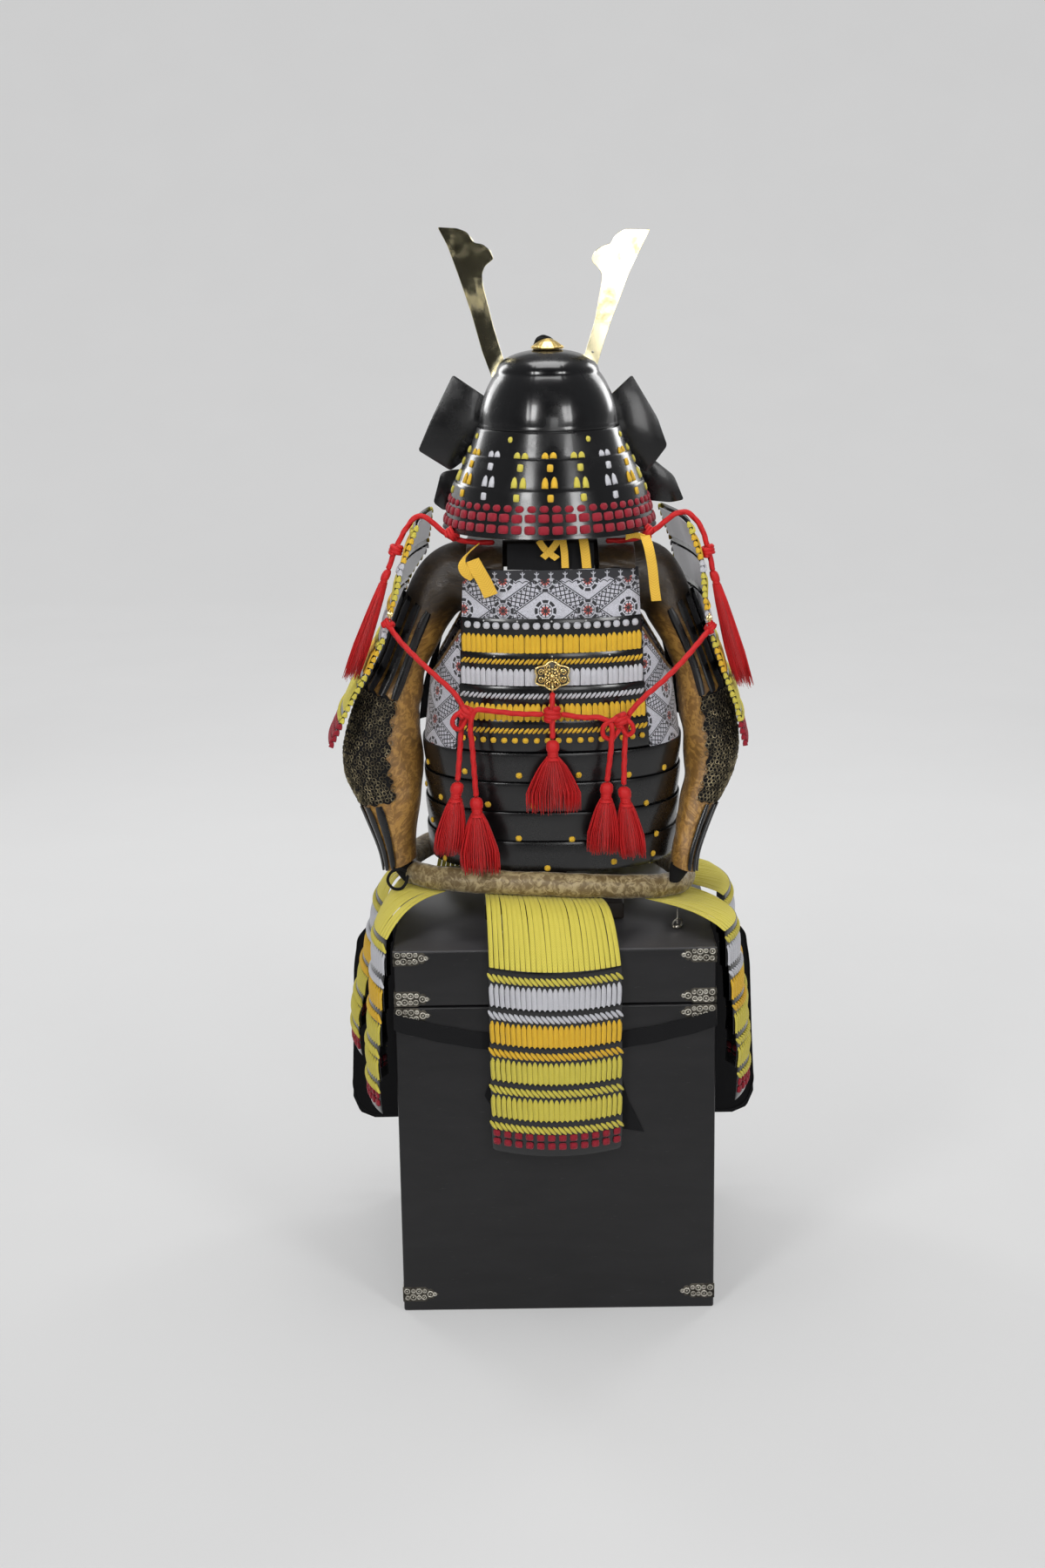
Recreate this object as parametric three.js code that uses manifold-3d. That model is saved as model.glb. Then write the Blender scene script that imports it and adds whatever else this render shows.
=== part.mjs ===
import * as THREE from 'three';
import Module from 'manifold-3d';
import { mergeVertices } from 'three/addons/utils/BufferGeometryUtils.js';

// Samurai armour standing on its armour chest, seen from behind along +Y.
// Millimetres, +Z up, origin at the centre of the chest's bottom face.

const wasm = await Module();
wasm.setup();

// Driving sizes
const gap = 0.3;
const chest = { width: 500, depth: 460, height: 612.5, lid: 92, wall: 12, corner: 6 };
const torso = { centreX: 2, power: 2.4, panelAngle: 44 };
const collarAngle = 17.5;
const heights = {
  hem: 716, waist: 905, panelTop: 1113, yokeTop: 1186, collarTop: 1226, frontTop: 1150,
};
const roll = { radius: 19, backZ: 700, sideDrop: 25, halfWidth: 227, halfDepth: 172, centreX: -12 };
const helmet = { halfWidth: 108, halfDepth: 118, rimZ: 1384, wall: 3 };
const strap = { width: 56, thickness: 6, peakZ: 1224, inner: 74 };
const lacing = { rib: 2.2, step: 4.5, tuck: 0.6 };
const cordRadius = 4.5;

const torsoSections = [
  { z: 700, halfWidth: 198, back: 160.5, front: 158 },
  { z: 770, halfWidth: 200, back: 153, front: 151 },
  { z: 905, halfWidth: 204, back: 150, front: 150 },
  { z: 1000, halfWidth: 192, back: 144, front: 142 },
  { z: 1113, halfWidth: 186, back: 134, front: 128 },
  { z: 1190, halfWidth: 182, back: 118, front: 108 },
];

// Materials
const colour = (hex, roughness, metalness = 0) => ({ color: hex, roughness, metalness });
const finishes = {
  chestWood: colour(0x17161a, 0.42),
  standWood: colour(0x5a4330, 0.7),
  blackLacquer: colour(0x0b0b0d, 0.22),
  brass: colour(0xb79a45, 0.25, 1),
  giltOrnament: colour(0xc9a64c, 0.3, 1),
  lacedYellow: colour(0xd9cf4c, 0.75),
  whiteBrocade: colour(0xb9b8c0, 0.7),
  brownBrocade: colour(0x77592a, 0.6),
  blackCloth: colour(0x0c0c0d, 0.9),
  redSilk: colour(0xb01a16, 0.6),
};

const armour = new THREE.Group();

function vec(x, y, z) {
  return new THREE.Vector3(x, y, z);
}

function lerp(a, b, t) {
  return a + (b - a) * t;
}

function spaced(count, from = -1, to = 1) {
  return Array.from({ length: count }, (_, i) => lerp(from, to, i / (count - 1)));
}

// Reads a table of rows at a value of one column, straight between rows
function tableAt(rows, key, value) {
  const rising = rows[rows.length - 1][key] > rows[0][key];
  const inOrder = rising ? rows : [...rows].reverse();
  let i = 0;
  while (i < inOrder.length - 2 && inOrder[i + 1][key] < value) i += 1;
  const [low, high] = [inOrder[i], inOrder[i + 1]];
  const t = (value - low[key]) / (high[key] - low[key]);
  return Object.fromEntries(Object.keys(low).map((k) => [k, lerp(low[k], high[k], t)]));
}

// Merges shared corners, drops faces with no area and turns the faces outwards
function closedSolid(positions, index) {
  const raw = new THREE.BufferGeometry();
  raw.setAttribute('position', new THREE.Float32BufferAttribute(positions, 3));
  raw.setIndex(index);
  const merged = mergeVertices(raw, 1e-3);
  const p = merged.getAttribute('position');
  const faces = [];
  let volume = 0;
  for (let i = 0; i < merged.index.count; i += 3) {
    const [a, b, c] = [0, 1, 2].map((k) => merged.index.getX(i + k));
    if (a === b || b === c || c === a) continue;
    faces.push([a, b, c]);
    const [A, B, C] = [a, b, c].map((k) => vec(p.getX(k), p.getY(k), p.getZ(k)));
    volume += A.dot(B.cross(C));
  }
  merged.setIndex(faces.flatMap((f) => (volume > 0 ? f : [f[0], f[2], f[1]])));
  merged.computeVertexNormals();
  return merged;
}

// Joins closed rings of points in turn. ends: 'fan' closes round ends, 'strip' closes the end of
// a wall whose first outerCount points are its outside, 'join' meets the last ring with the first.
function loft(rings, ends = 'fan', outerCount = 0) {
  const count = rings[0].length;
  const index = [];
  const spans = ends === 'join' ? rings.length : rings.length - 1;
  for (let i = 0; i < spans; i += 1) {
    const next = (i + 1) % rings.length;
    for (let j = 0; j < count; j += 1) {
      const k = (j + 1) % count;
      index.push(i * count + j, i * count + k, next * count + k);
      index.push(i * count + j, next * count + k, next * count + j);
    }
  }
  if (ends !== 'join') {
    const last = (rings.length - 1) * count;
    for (const [a, b, c] of endFaces(rings[0], ends, outerCount)) index.push(a, c, b);
    for (const [a, b, c] of endFaces(rings.at(-1), ends, outerCount)) {
      index.push(last + a, last + b, last + c);
    }
  }
  return closedSolid(rings.flat().flatMap((p) => [p.x, p.y, p.z]), index);
}

function endFaces(ring, ends, outerCount) {
  return ends === 'fan' ? fanFaces(ring.length) : stripFaces(ring, outerCount);
}

function fanFaces(count) {
  return Array.from({ length: count - 2 }, (_, i) => [0, i + 1, i + 2]);
}

// Faces between a wall's outer and inner edge, always across the shorter way
function stripFaces(ring, outerCount) {
  const count = ring.length;
  const faces = [];
  let i = 0;
  let j = count - 1;
  while (i < outerCount - 1 || j > outerCount) {
    const outerStep = i < outerCount - 1 ? ring[i + 1].distanceTo(ring[j]) : Infinity;
    const innerStep = j > outerCount ? ring[i].distanceTo(ring[j - 1]) : Infinity;
    if (outerStep <= innerStep) {
      faces.push([i, i + 1, j]);
      i += 1;
    } else {
      faces.push([i, j - 1, j]);
      j -= 1;
    }
  }
  return faces;
}

// The outward direction of a surface at one point
function outwardAt(surface, s, v, axis) {
  const ds = 0.01;
  const dv = 0.01;
  const across = surface(s + ds, v).sub(surface(s - ds, v));
  const along = surface(s, v + dv).sub(surface(s, v - dv));
  const normal = across.cross(along).normalize();
  return normal.dot(axis(surface(s, v))) < 0 ? normal.negate() : normal;
}

const awayFromMiddle = (p) => vec(p.x - torso.centreX, p.y, 0);
const upwards = () => vec(0, 0, 1);

// A wall on a surface(s, v). Each row gives v and how far the outside stands out, and its ribs.
function wallOn(surface, columns, rows, options = {}) {
  const { inside = 1.5, ends = 'strip', axis = awayFromMiddle, innerRows = 4 } = options;
  const lames = rows.filter((row) => !row.bend);
  const spread = spaced(innerRows, 0, lames.length - 1).map((i) => lames[Math.round(i)]);
  const pick = [...rows.filter((row) => row.bend), ...spread];
  const rings = columns.map((s, j) => {
    const stand = (row) => row.out + (j % 2 === 1 ? (row.rib ?? 0) : 0);
    const outer = rows.map((row) => offset(surface, s, row.v, stand(row), axis));
    const inner = pick.map((row) => offset(surface, s, row.v, -inside, axis)).reverse();
    return [...outer, ...inner];
  });
  return loft(rings, ends, rows.length);
}

function offset(surface, s, v, distance, axis) {
  const normal = outwardAt(surface, s, v, axis);
  return surface(s, v).addScaledVector(normal, distance);
}

// Rows of stepped lames: a plain top edge, a laced stretch that swells and a tucked foot.
// detail is the number of rows to a lame.
function lameRows(top, bottom, count, options = {}) {
  const { rib = lacing.rib, step = lacing.step, detail = 3 } = options;
  const pitch = (top - bottom) / count;
  return Array.from({ length: count }, (_, i) => top - pitch * i).flatMap((v, i) => {
    const foot = i === count - 1 ? bottom : v - pitch + pitch * 0.02;
    const band = lerp(v, foot, 0.28);
    const rows = [
      { v, out: step },
      { v: band, out: step },
      { v: lerp(band, foot, 0.45), out: step * 0.9, rib },
      { v: foot, out: lacing.tuck, rib: rib * 0.5 },
    ];
    return detail === 3 ? [rows[0], rows[2], rows[3]] : [rows[0], rows[3]];
  });
}

function add(name, geometry, finish) {
  const mesh = new THREE.Mesh(geometry, new THREE.MeshStandardMaterial(finish));
  mesh.name = name;
  armour.add(mesh);
}

function asManifold(geometry) {
  const bare = geometry.clone();
  bare.deleteAttribute('normal');
  bare.deleteAttribute('uv');
  const merged = mergeVertices(bare, 1e-4);
  return new wasm.Manifold(new wasm.Mesh({
    numProp: 3,
    vertProperties: new Float32Array(merged.getAttribute('position').array),
    triVerts: new Uint32Array(merged.index.array),
  }));
}

function fromManifold(solid) {
  const mesh = solid.getMesh();
  return closedSolid(Array.from(mesh.vertProperties), Array.from(mesh.triVerts));
}

function joined(first, ...others) {
  return fromManifold(others.reduce((whole, g) => whole.add(asManifold(g)), asManifold(first)));
}

function cut(first, ...tools) {
  return fromManifold(tools.reduce((whole, g) => whole.subtract(asManifold(g)), asManifold(first)));
}

function block(low, high) {
  const box = new THREE.BoxGeometry(high[0] - low[0], high[1] - low[1], high[2] - low[2]);
  box.translate((low[0] + high[0]) / 2, (low[1] + high[1]) / 2, (low[2] + high[2]) / 2);
  return box;
}

function roundedRect(halfX, halfY, radius, z) {
  const corners = [[1, 1, 0], [-1, 1, 90], [-1, -1, 180], [1, -1, 270]];
  return corners.flatMap(([sx, sy, start]) => [0, 45, 90].map((turn) => {
    const a = THREE.MathUtils.degToRad(start + turn);
    const x = sx * (halfX - radius) + radius * Math.cos(a);
    return vec(x, sy * (halfY - radius) + radius * Math.sin(a), z);
  }));
}

// Armour chest: an open base under a cap lid
function addChest() {
  const { width, depth, height, lid, wall, corner } = chest;
  const seam = height - lid;
  const outer = (z) => roundedRect(width / 2, depth / 2, corner, z);
  const inner = (z) => roundedRect(width / 2 - wall, depth / 2 - wall, 2, z);
  add('chest_base', loft([outer(0), outer(seam), inner(seam), inner(wall)]), finishes.chestWood);
  const lidRings = [outer(height), outer(seam + gap), inner(seam + gap), inner(height - wall)];
  add('chest_lid', loft(lidRings), finishes.chestWood);
}

// Wooden stand inside the armour: foot, post and shoulder bar, with a smooth head block
function addStand() {
  const floor = chest.height + gap;
  const barTop = strap.peakZ - strap.thickness - gap;
  const foot = block([-110, -85, floor], [114, 85, floor + 28]);
  const post = block([-20, -16, floor + 20], [24, 16, 1290]);
  const bar = loft([-127, 131].map((x) => spaced(11, 0, 2 * Math.PI).slice(0, 10).map((a) => (
    vec(x, 18 * Math.cos(a), barTop - 22 + 22 * Math.sin(a))
  ))));
  add('stand', joined(foot, post, bar), finishes.standWood);
  const head = [
    { z: 1290 + gap, r: 62 }, { z: 1330, r: 76 }, { z: 1400, r: 84 },
    { z: 1450, r: 74 }, { z: 1488, r: 48 }, { z: 1508.6, r: 0 },
  ];
  const rings = head.map(({ z, r }) => ovalRing(torso.centreX, 0, r, r * 1.12, z, 14));
  add('head_block', loft(rings), finishes.standWood);
}

function ovalRing(cx, cy, rx, ry, z, count) {
  return spaced(count + 1, 0, 2 * Math.PI).slice(0, count).map((a) => (
    vec(cx + rx * Math.sin(a), cy - ry * Math.cos(a), z)
  ));
}

// A point of the cuirass at an angle from its back centre
function torsoPoint(degrees, z) {
  const at = tableAt(torsoSections, 'z', z);
  const a = THREE.MathUtils.degToRad(degrees);
  const bend = (value) => Math.sign(value) * Math.abs(value) ** (2 / torso.power);
  const depth = Math.cos(a) > 0 ? at.back : at.front;
  return vec(torso.centreX + at.halfWidth * bend(Math.sin(a)), -depth * bend(Math.cos(a)), z);
}

// Cuirass: a ring of four lames below, laced back and front plates and side guards above
function addCuirass() {
  const ring = (s, v) => torsoPoint(s, v);
  const around = spaced(33, -180, 180).slice(0, 32);
  const hoops = lameRows(heights.waist, heights.hem, 4, { rib: 0, detail: 2 });
  const lower = wallOn(ring, around, hoops, { ends: 'join', innerRows: 3 });
  add('lower_cuirass', lower, finishes.blackLacquer);

  const side = torso.panelAngle;
  const seam = heights.waist + gap;
  const backRows = lameRows(heights.panelTop, seam, 4);
  const back = wallOn(ring, spaced(49, -side, side), backRows, { innerRows: 3 });
  add('back_panel', back, finishes.lacedYellow);
  const frontRows = lameRows(heights.panelTop, seam, 4, { detail: 2 });
  const front = wallOn(ring, spaced(27, 180 - side, 180 + side), frontRows, { innerRows: 3 });
  add('front_panel', front, finishes.lacedYellow);

  const board = (from, to) => [to, lerp(from, to, 0.5), from].map((v) => ({ v, out: 1.5 }));
  const flat = { innerRows: 2 };
  const yoke = board(heights.panelTop + gap, heights.yokeTop);
  add('back_yoke', wallOn(ring, spaced(13, -side, side), yoke, flat), finishes.whiteBrocade);
  const chestBoard = board(heights.panelTop + gap, heights.frontTop);
  const collar = board(heights.yokeTop + gap, heights.collarTop);
  const collarArc = spaced(7, -collarAngle, collarAngle);
  add('collar_board', wallOn(ring, collarArc, collar, flat), finishes.blackCloth);
  const chestArc = spaced(11, 180 - side, 180 + side);
  add('chest_board', wallOn(ring, chestArc, chestBoard, flat), finishes.whiteBrocade);

  for (const [sideName, sign] of [['left', -1], ['right', 1]]) {
    const guard = (s, v) => {
      const turn = s / (90 - side);
      const top = lerp(1008, 1095, turn * turn);
      return torsoPoint(sign * (90 + s), lerp(seam, top, v));
    };
    const reach = 90 - side - 0.5;
    const rows = [1, 0.5, 0].map((v) => ({ v, out: 1.5 }));
    const geometry = wallOn(guard, spaced(11, -reach, reach), rows, flat);
    add(`side_guard_${sideName}`, geometry, finishes.whiteBrocade);
  }
}

// Padded straps over the shoulders, from the back yoke to the chest board
function addStraps() {
  const run = [
    { t: 0, y: -116, z: 1189.8 }, { t: 1, y: -104, z: 1204 }, { t: 2, y: -70, z: 1218 },
    { t: 3, y: 0, z: 1224 }, { t: 4, y: 62, z: 1211 }, { t: 5, y: 102, z: 1178 },
    { t: 6, y: 114, z: 1153 },
  ];
  for (const [sideName, sign] of [['left', -1], ['right', 1]]) {
    const sections = run.map(({ t, y, z }) => {
      const before = run[Math.max(t - 1, 0)];
      const after = run[Math.min(t + 1, run.length - 1)];
      const along = vec(0, after.y - before.y, after.z - before.z).normalize();
      const up = vec(0, -along.z, along.y);
      const edge = (side, depth) => vec(
        torso.centreX + sign * (strap.inner + side * strap.width),
        y - up.y * depth,
        z - up.z * depth + (t === 0 ? gap : 0),
      );
      return [edge(0, 1), edge(0.5, 0), edge(1, 1), edge(1, 5), edge(0.5, 6), edge(0, 5)];
    });
    add(`shoulder_strap_${sideName}`, loft(sections), finishes.brownBrocade);
  }
}

// Padded brocade roll tied round the waist
function addWaistRoll() {
  const sections = spaced(29, 0, 360).slice(0, 28).map((degrees) => {
    const centre = rollPoint(degrees);
    const a = THREE.MathUtils.degToRad(degrees);
    const outward = vec(Math.sin(a), -Math.cos(a), 0);
    return spaced(9, 0, 2 * Math.PI).slice(0, 8).map((turn) => (
      centre.clone().addScaledVector(outward, roll.radius * Math.cos(turn))
        .add(vec(0, 0, roll.radius * Math.sin(turn)))
    ));
  });
  add('waist_roll', loft(sections, 'join'), finishes.brownBrocade);
}

function rollPoint(degrees) {
  const a = THREE.MathUtils.degToRad(degrees);
  const x = roll.centreX + roll.halfWidth * Math.sin(a);
  const tilt = -0.055 * (x - roll.centreX);
  const z = roll.backZ - roll.sideDrop * Math.sin(a) ** 2 + tilt;
  return vec(x, -roll.halfDepth * Math.cos(a), z);
}

// Thigh tassets. Lacing runs free from the roll, from one angle to another, over the chest's edge
// to the lames. splay is how much further out the foot stands than the top.
const tassets = [
  { name: 'back', seat: 2.4, from: -25, to: 23, face: 0, out: 274, sag: 29,
    half: 101, mid: 0, top: 591, foot: 286 },
  { name: 'rear_left', seat: 2.4, from: -92, to: -44, face: -90, out: 281, sag: 24, splay: 18,
    half: 86, mid: 138, top: 630, foot: 340 },
  { name: 'rear_right', seat: 2.4, from: 44, to: 92, face: 90, out: 285, sag: 25, splay: 22,
    half: 86, mid: -138, top: 636, foot: 355 },
  { name: 'side_left', seat: 1.7, from: -134, to: -96, face: -90, out: 288, sag: 17, splay: 48,
    half: 86, mid: -48, top: 630, foot: 366 },
  { name: 'side_right', seat: 1.7, from: 96, to: 134, face: 90, out: 292, sag: 17, splay: 30,
    half: 86, mid: 48, top: 636, foot: 366 },
  { name: 'front_left', seat: 2.4, from: -176, to: -140, face: 180, out: 274, sag: 22,
    half: 90, mid: 112, top: 594, foot: 290 },
  { name: 'front_right', seat: 2.4, from: 140, to: 176, face: 180, out: 274, sag: 22,
    half: 90, mid: -112, top: 594, foot: 290 },
];

function addTassets() {
  for (const row of tassets) {
    const a = THREE.MathUtils.degToRad(row.face);
    const outward = vec(Math.sin(a), -Math.cos(a), 0);
    const sideways = vec(Math.cos(a), Math.sin(a), 0);
    const splay = (z) => (row.splay ?? 0) * Math.min(Math.max(row.top - z, 0) / 200, 1);
    const plate = (s, z) => outward.clone()
      .multiplyScalar(row.out + splay(z) - row.sag * s * s)
      .addScaledVector(sideways, row.mid + s * row.half)
      .add(vec(0, 0, z));
    const surface = (s, v) => (v > row.top ? hangAt(row, plate, s, v) : plate(s, v));
    const main = row.name === 'back';
    const columns = spaced(main ? 37 : 13, -1, 1);
    const strands = [1, 0.5, 0.05].map((k) => ({
      v: row.top + k * 100, out: 1.2, rib: lacing.rib * 0.6, bend: true,
    }));
    const lames = lameRows(row.top, row.foot, 5, { detail: main ? 3 : 2 });
    const geometry = wallOn(surface, columns, [...strands, ...lames], { innerRows: 3 });
    add(`tasset_${row.name}`, geometry, finishes.lacedYellow);
  }
}

const hangBend = 3.2;

// The free lacing between the roll and a tasset's top lame; v runs 100 above the lame's top
function hangAt(row, plate, s, v) {
  const t = 1 - (v - row.top) / 100;
  const start = rollPoint(lerp(row.from, row.to, (s + 1) / 2));
  start.z -= roll.radius + gap + row.seat;
  const end = plate(s, row.top);
  const drop = Math.sign(t) * Math.abs(t) ** hangBend;
  return vec(lerp(start.x, end.x, t), lerp(start.y, end.y, t), lerp(start.z, end.z, drop));
}

// Helmet bowl: a bell-shaped dome, open below
function addHelmet() {
  const bell = [
    { z: 1384, r: 1 }, { z: 1421, r: 0.98 }, { z: 1461, r: 0.845 }, { z: 1487, r: 0.65 },
    { z: 1506, r: 0.33 }, { z: 1512, r: 0 },
  ];
  const { halfWidth, halfDepth, wall, rimZ } = helmet;
  const shell = (thick) => bell.map(({ z, r }) => {
    const inner = Math.max(r * (halfWidth - thick), 0);
    const deep = Math.max(r * (halfDepth - thick), 0);
    return ovalRing(torso.centreX, 0, inner, deep, z === rimZ ? z : z - thick, 24);
  });
  const dome = loft([...shell(wall).reverse(), ...shell(0)]);
  add('helmet_bowl', dome, finishes.blackLacquer);

  const brim = (s, v) => {
    const a = THREE.MathUtils.degToRad(180 + s);
    const x = torso.centreX + (halfWidth + 1 + v * 0.8) * Math.sin(a);
    return vec(x, -(halfDepth + 1 + v) * Math.cos(a), 1388 - v * 0.35);
  };
  const brimRows = [0, 22, 44].map((v) => ({ v, out: 1 }));
  const brimOptions = { inside: 1.5, axis: upwards, innerRows: 2 };
  const visor = wallOn(brim, spaced(11, -52, 52), brimRows, brimOptions);
  add('helmet_visor', visor, finishes.blackLacquer);

  for (const [i, lame] of neckLames.entries()) {
    const surface = (s, v) => neckPoint(lame, s, v);
    const rows = [
      { v: lame.top, out: 1.5 }, { v: lerp(lame.top, lame.foot, 0.5), out: 1.5 },
      { v: lame.foot, out: 1.5 },
    ];
    const geometry = wallOn(surface, spaced(21, -1, 1), rows, { inside: 1.5, innerRows: 2 });
    add(`neck_guard_${i + 1}`, geometry, finishes.blackLacquer);
  }
}

// Flaring neck guard: three lames, each outside the one above, open at the front
const neckLames = [
  { top: 1395, foot: 1352, upper: 109.9, lower: 124 },
  { top: 1357, foot: 1306, upper: 126, lower: 145 },
  { top: 1312, foot: 1241, upper: 147, lower: 166 },
];
const neckFrontY = 58;

function neckPoint(lame, s, v) {
  const t = (lame.top - v) / (lame.top - lame.foot);
  const halfWidth = lerp(lame.upper, lame.lower, t);
  const halfDepth = halfWidth + 11;
  const a = s * Math.acos(-neckFrontY / halfDepth);
  return vec(torso.centreX + halfWidth * Math.sin(a), -halfDepth * Math.cos(a), v);
}

function plate(outline, thickness, y) {
  const shape = new THREE.Shape(outline.map(([x, z]) => new THREE.Vector2(x, z)));
  const geometry = new THREE.ExtrudeGeometry(shape, { depth: thickness, bevelEnabled: false });
  geometry.rotateX(Math.PI / 2);
  geometry.translate(0, y + thickness, 0);
  return geometry;
}

// Turned-back ends of the neck guard, standing out at each side
const turnbacks = [
  { name: 'turnback_left', y: 59.5, points: [[-147, 1471], [-92, 1433], [-96, 1362], [-112, 1350],
    [-150, 1323], [-155, 1321], [-205, 1353], [-183, 1402]] },
  { name: 'turnback_right', y: 59.5, points: [[136, 1467], [95, 1430], [100, 1362], [116, 1350],
    [153, 1316], [160, 1313], [192, 1355], [176, 1400]] },
  { name: 'small_turnback_left', y: 64.2, points: [[-138, 1322], [-156, 1321], [-170, 1316],
    [-183, 1269], [-166, 1256], [-150, 1262]] },
  { name: 'small_turnback_right', y: 64.2, points: [[146, 1328], [172, 1332], [203, 1307],
    [219, 1268], [198, 1264], [160, 1268]] },
];

function addTurnbacks() {
  for (const row of turnbacks) {
    add(row.name, plate(row.points, 4, row.y), finishes.blackLacquer);
  }
}

// Front crest: two flat brass horns, bent a little differently, in a socket over the visor
const horns = {
  left: [
    [-168, 1697], [-137, 1695], [-122, 1689], [-114, 1678], [-110, 1672], [-97, 1670], [-86, 1661],
    [-80, 1647], [-94, 1636], [-99, 1624], [-98, 1606], [-82, 1540], [-66, 1486], [-46, 1426],
    [-70, 1418], [-86, 1461], [-101, 1502], [-117, 1562], [-136, 1620], [-153, 1668],
  ],
  right: [
    [168, 1689], [128, 1690], [116, 1684], [109, 1675], [106, 1668], [93, 1665], [81, 1657],
    [76, 1648], [76, 1640], [85, 1632], [91, 1623], [91, 1608], [80, 1550], [62, 1492],
    [42, 1428], [66, 1420], [80, 1468], [94, 1514], [106, 1549], [119, 1581], [135, 1623],
  ],
};
const crestY = 121;

function addCrest() {
  for (const [sideName, outline] of Object.entries(horns)) {
    add(`horn_${sideName}`, plate(outline, 3, crestY), finishes.brass);
  }
  const socket = plate([[-76, 1462], [-92, 1436], [-60, 1408], [0, 1398], [64, 1408], [96, 1436],
    [80, 1462], [40, 1432], [2, 1424], [-36, 1432]], 2.4, crestY - gap - 2.4);
  const boss = block([-18, 117.3, 1405], [22, crestY - gap - 1, 1424]);
  add('horn_socket', joined(socket, boss), finishes.brass);
}

// Gilt fitting on the crown
function addCrownFitting() {
  const profile = [[0, 1512.4], [24, 1512.4], [26, 1515], [21, 1519], [14, 1524], [6, 1528], [0, 1529]];
  const fitting = new THREE.LatheGeometry(profile.map(([x, z]) => new THREE.Vector2(x, z)), 16);
  fitting.rotateX(Math.PI / 2);
  fitting.translate(torso.centreX, 0, 0);
  add('crown_fitting', fromManifold(asManifold(fitting)), finishes.giltOrnament);
}

// Shoulder guards: laced plates, edge on from behind. x is the rear edge's place at each height
// and turn is how much further in the front edge stands.
const guardLines = {
  left: [
    { z: 1256, x: 200, turn: 12 }, { z: 1188, x: 228, turn: 30 }, { z: 1150, x: 236, turn: 12 },
    { z: 1075, x: 260, turn: 4 }, { z: 1031, x: 282, turn: 2 }, { z: 968, x: 318, turn: 0 },
    { z: 908, x: 346, turn: 0 },
  ],
  right: [
    { z: 1256, x: 212, turn: 30 }, { z: 1193, x: 234, turn: 30 }, { z: 1130, x: 240, turn: 24 },
    { z: 1090, x: 246, turn: 10 }, { z: 1030, x: 266, turn: 4 }, { z: 965, x: 290, turn: 0 },
    { z: 902, x: 304, turn: 0 },
  ],
};
const guardBulge = 8;

function addShoulderGuards() {
  for (const [sideName, sign] of [['left', -1], ['right', 1]]) {
    const line = guardLines[sideName];
    const surface = (s, z) => {
      const at = tableAt(line, 'z', z);
      const x = at.x - at.turn * (s + 1) / 2 + guardBulge * (1 - s * s);
      return vec(sign * x, 8 + s * 114, z);
    };
    const rows = lameRows(line[0].z, line.at(-1).z, 6, { detail: 2 });
    const away = (p) => vec(p.x, 0, 0);
    const geometry = wallOn(surface, spaced(13, -1, 1), rows, { axis: away, innerRows: 6 });
    add(`shoulder_guard_${sideName}`, geometry, finishes.lacedYellow);
  }
}

// Armoured sleeves: bent hollow tubes, open at shoulder and cuff, each in two pieces that meet at
// the elbow. deep and high are half sizes and lean turns each section from level.
const sleeveLines = {
  left: [
    { x: 130.5, y: 2, z: 1162, deep: 52, high: 58, lean: 0 },
    { x: 170, y: 2, z: 1148, deep: 50, high: 52, lean: 28 },
    { x: 202, y: 0, z: 1098, deep: 47, high: 42, lean: 58 },
    { x: 234, y: -4, z: 1020, deep: 46, high: 40, lean: 68 },
    { x: 262, y: -10, z: 944, deep: 50, high: 54, lean: 76 },
    { x: 271, y: -20, z: 868, deep: 52, high: 64, lean: 92 },
    { x: 258, y: -36, z: 804, deep: 45, high: 49, lean: 104 },
    { x: 250, y: -50, z: 744, deep: 36, high: 33, lean: 112 },
    { x: 246, y: -58, z: 706, deep: 32, high: 29, lean: 114 },
  ],
  right: [
    { x: 130.5, y: 2, z: 1162, deep: 52, high: 58, lean: 0 },
    { x: 168, y: 2, z: 1148, deep: 50, high: 52, lean: 28 },
    { x: 196, y: 0, z: 1098, deep: 47, high: 40, lean: 58 },
    { x: 228, y: -4, z: 1020, deep: 46, high: 34, lean: 68 },
    { x: 246, y: -12, z: 944, deep: 50, high: 44, lean: 76 },
    { x: 252, y: -28, z: 868, deep: 52, high: 42, lean: 94 },
    { x: 231, y: -56, z: 804, deep: 44, high: 29, lean: 106 },
    { x: 211, y: -92, z: 744, deep: 30, high: 22, lean: 112 },
    { x: 205, y: -100, z: 706, deep: 28, high: 22, lean: 112 },
  ],
};
const sleeveSides = 11;
const sleeveWall = 2.5;
const elbowRow = 5;

function addSleeves() {
  for (const [sideName, sign] of [['left', -1], ['right', 1]]) {
    const section = (row, thick) => {
      const a = THREE.MathUtils.degToRad(row.lean);
      const across = vec(sign * Math.sin(a), 0, Math.cos(a));
      return spaced(sleeveSides + 1, 0, 2 * Math.PI).slice(0, sleeveSides).map((turn) => (
        vec(torso.centreX + sign * row.x, row.y, row.z)
          .add(vec(0, (row.deep - thick) * Math.cos(turn), 0))
          .addScaledVector(across, (row.high - thick) * Math.sin(turn))
      ));
    };
    const rows = sleeveLines[sideName];
    const elbow = { ...rows[elbowRow], z: rows[elbowRow].z - gap };
    const pieces = { sleeve: rows.slice(0, elbowRow + 1), forearm: [elbow, ...rows.slice(elbowRow + 1)] };
    for (const [piece, line] of Object.entries(pieces)) {
      const outer = line.map((row) => section(row, 0));
      const inner = line.map((row) => section(row, sleeveWall)).reverse();
      add(`${piece}_${sideName}`, loft([...outer, ...inner], 'join'), finishes.brownBrocade);
    }
  }
}

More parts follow.
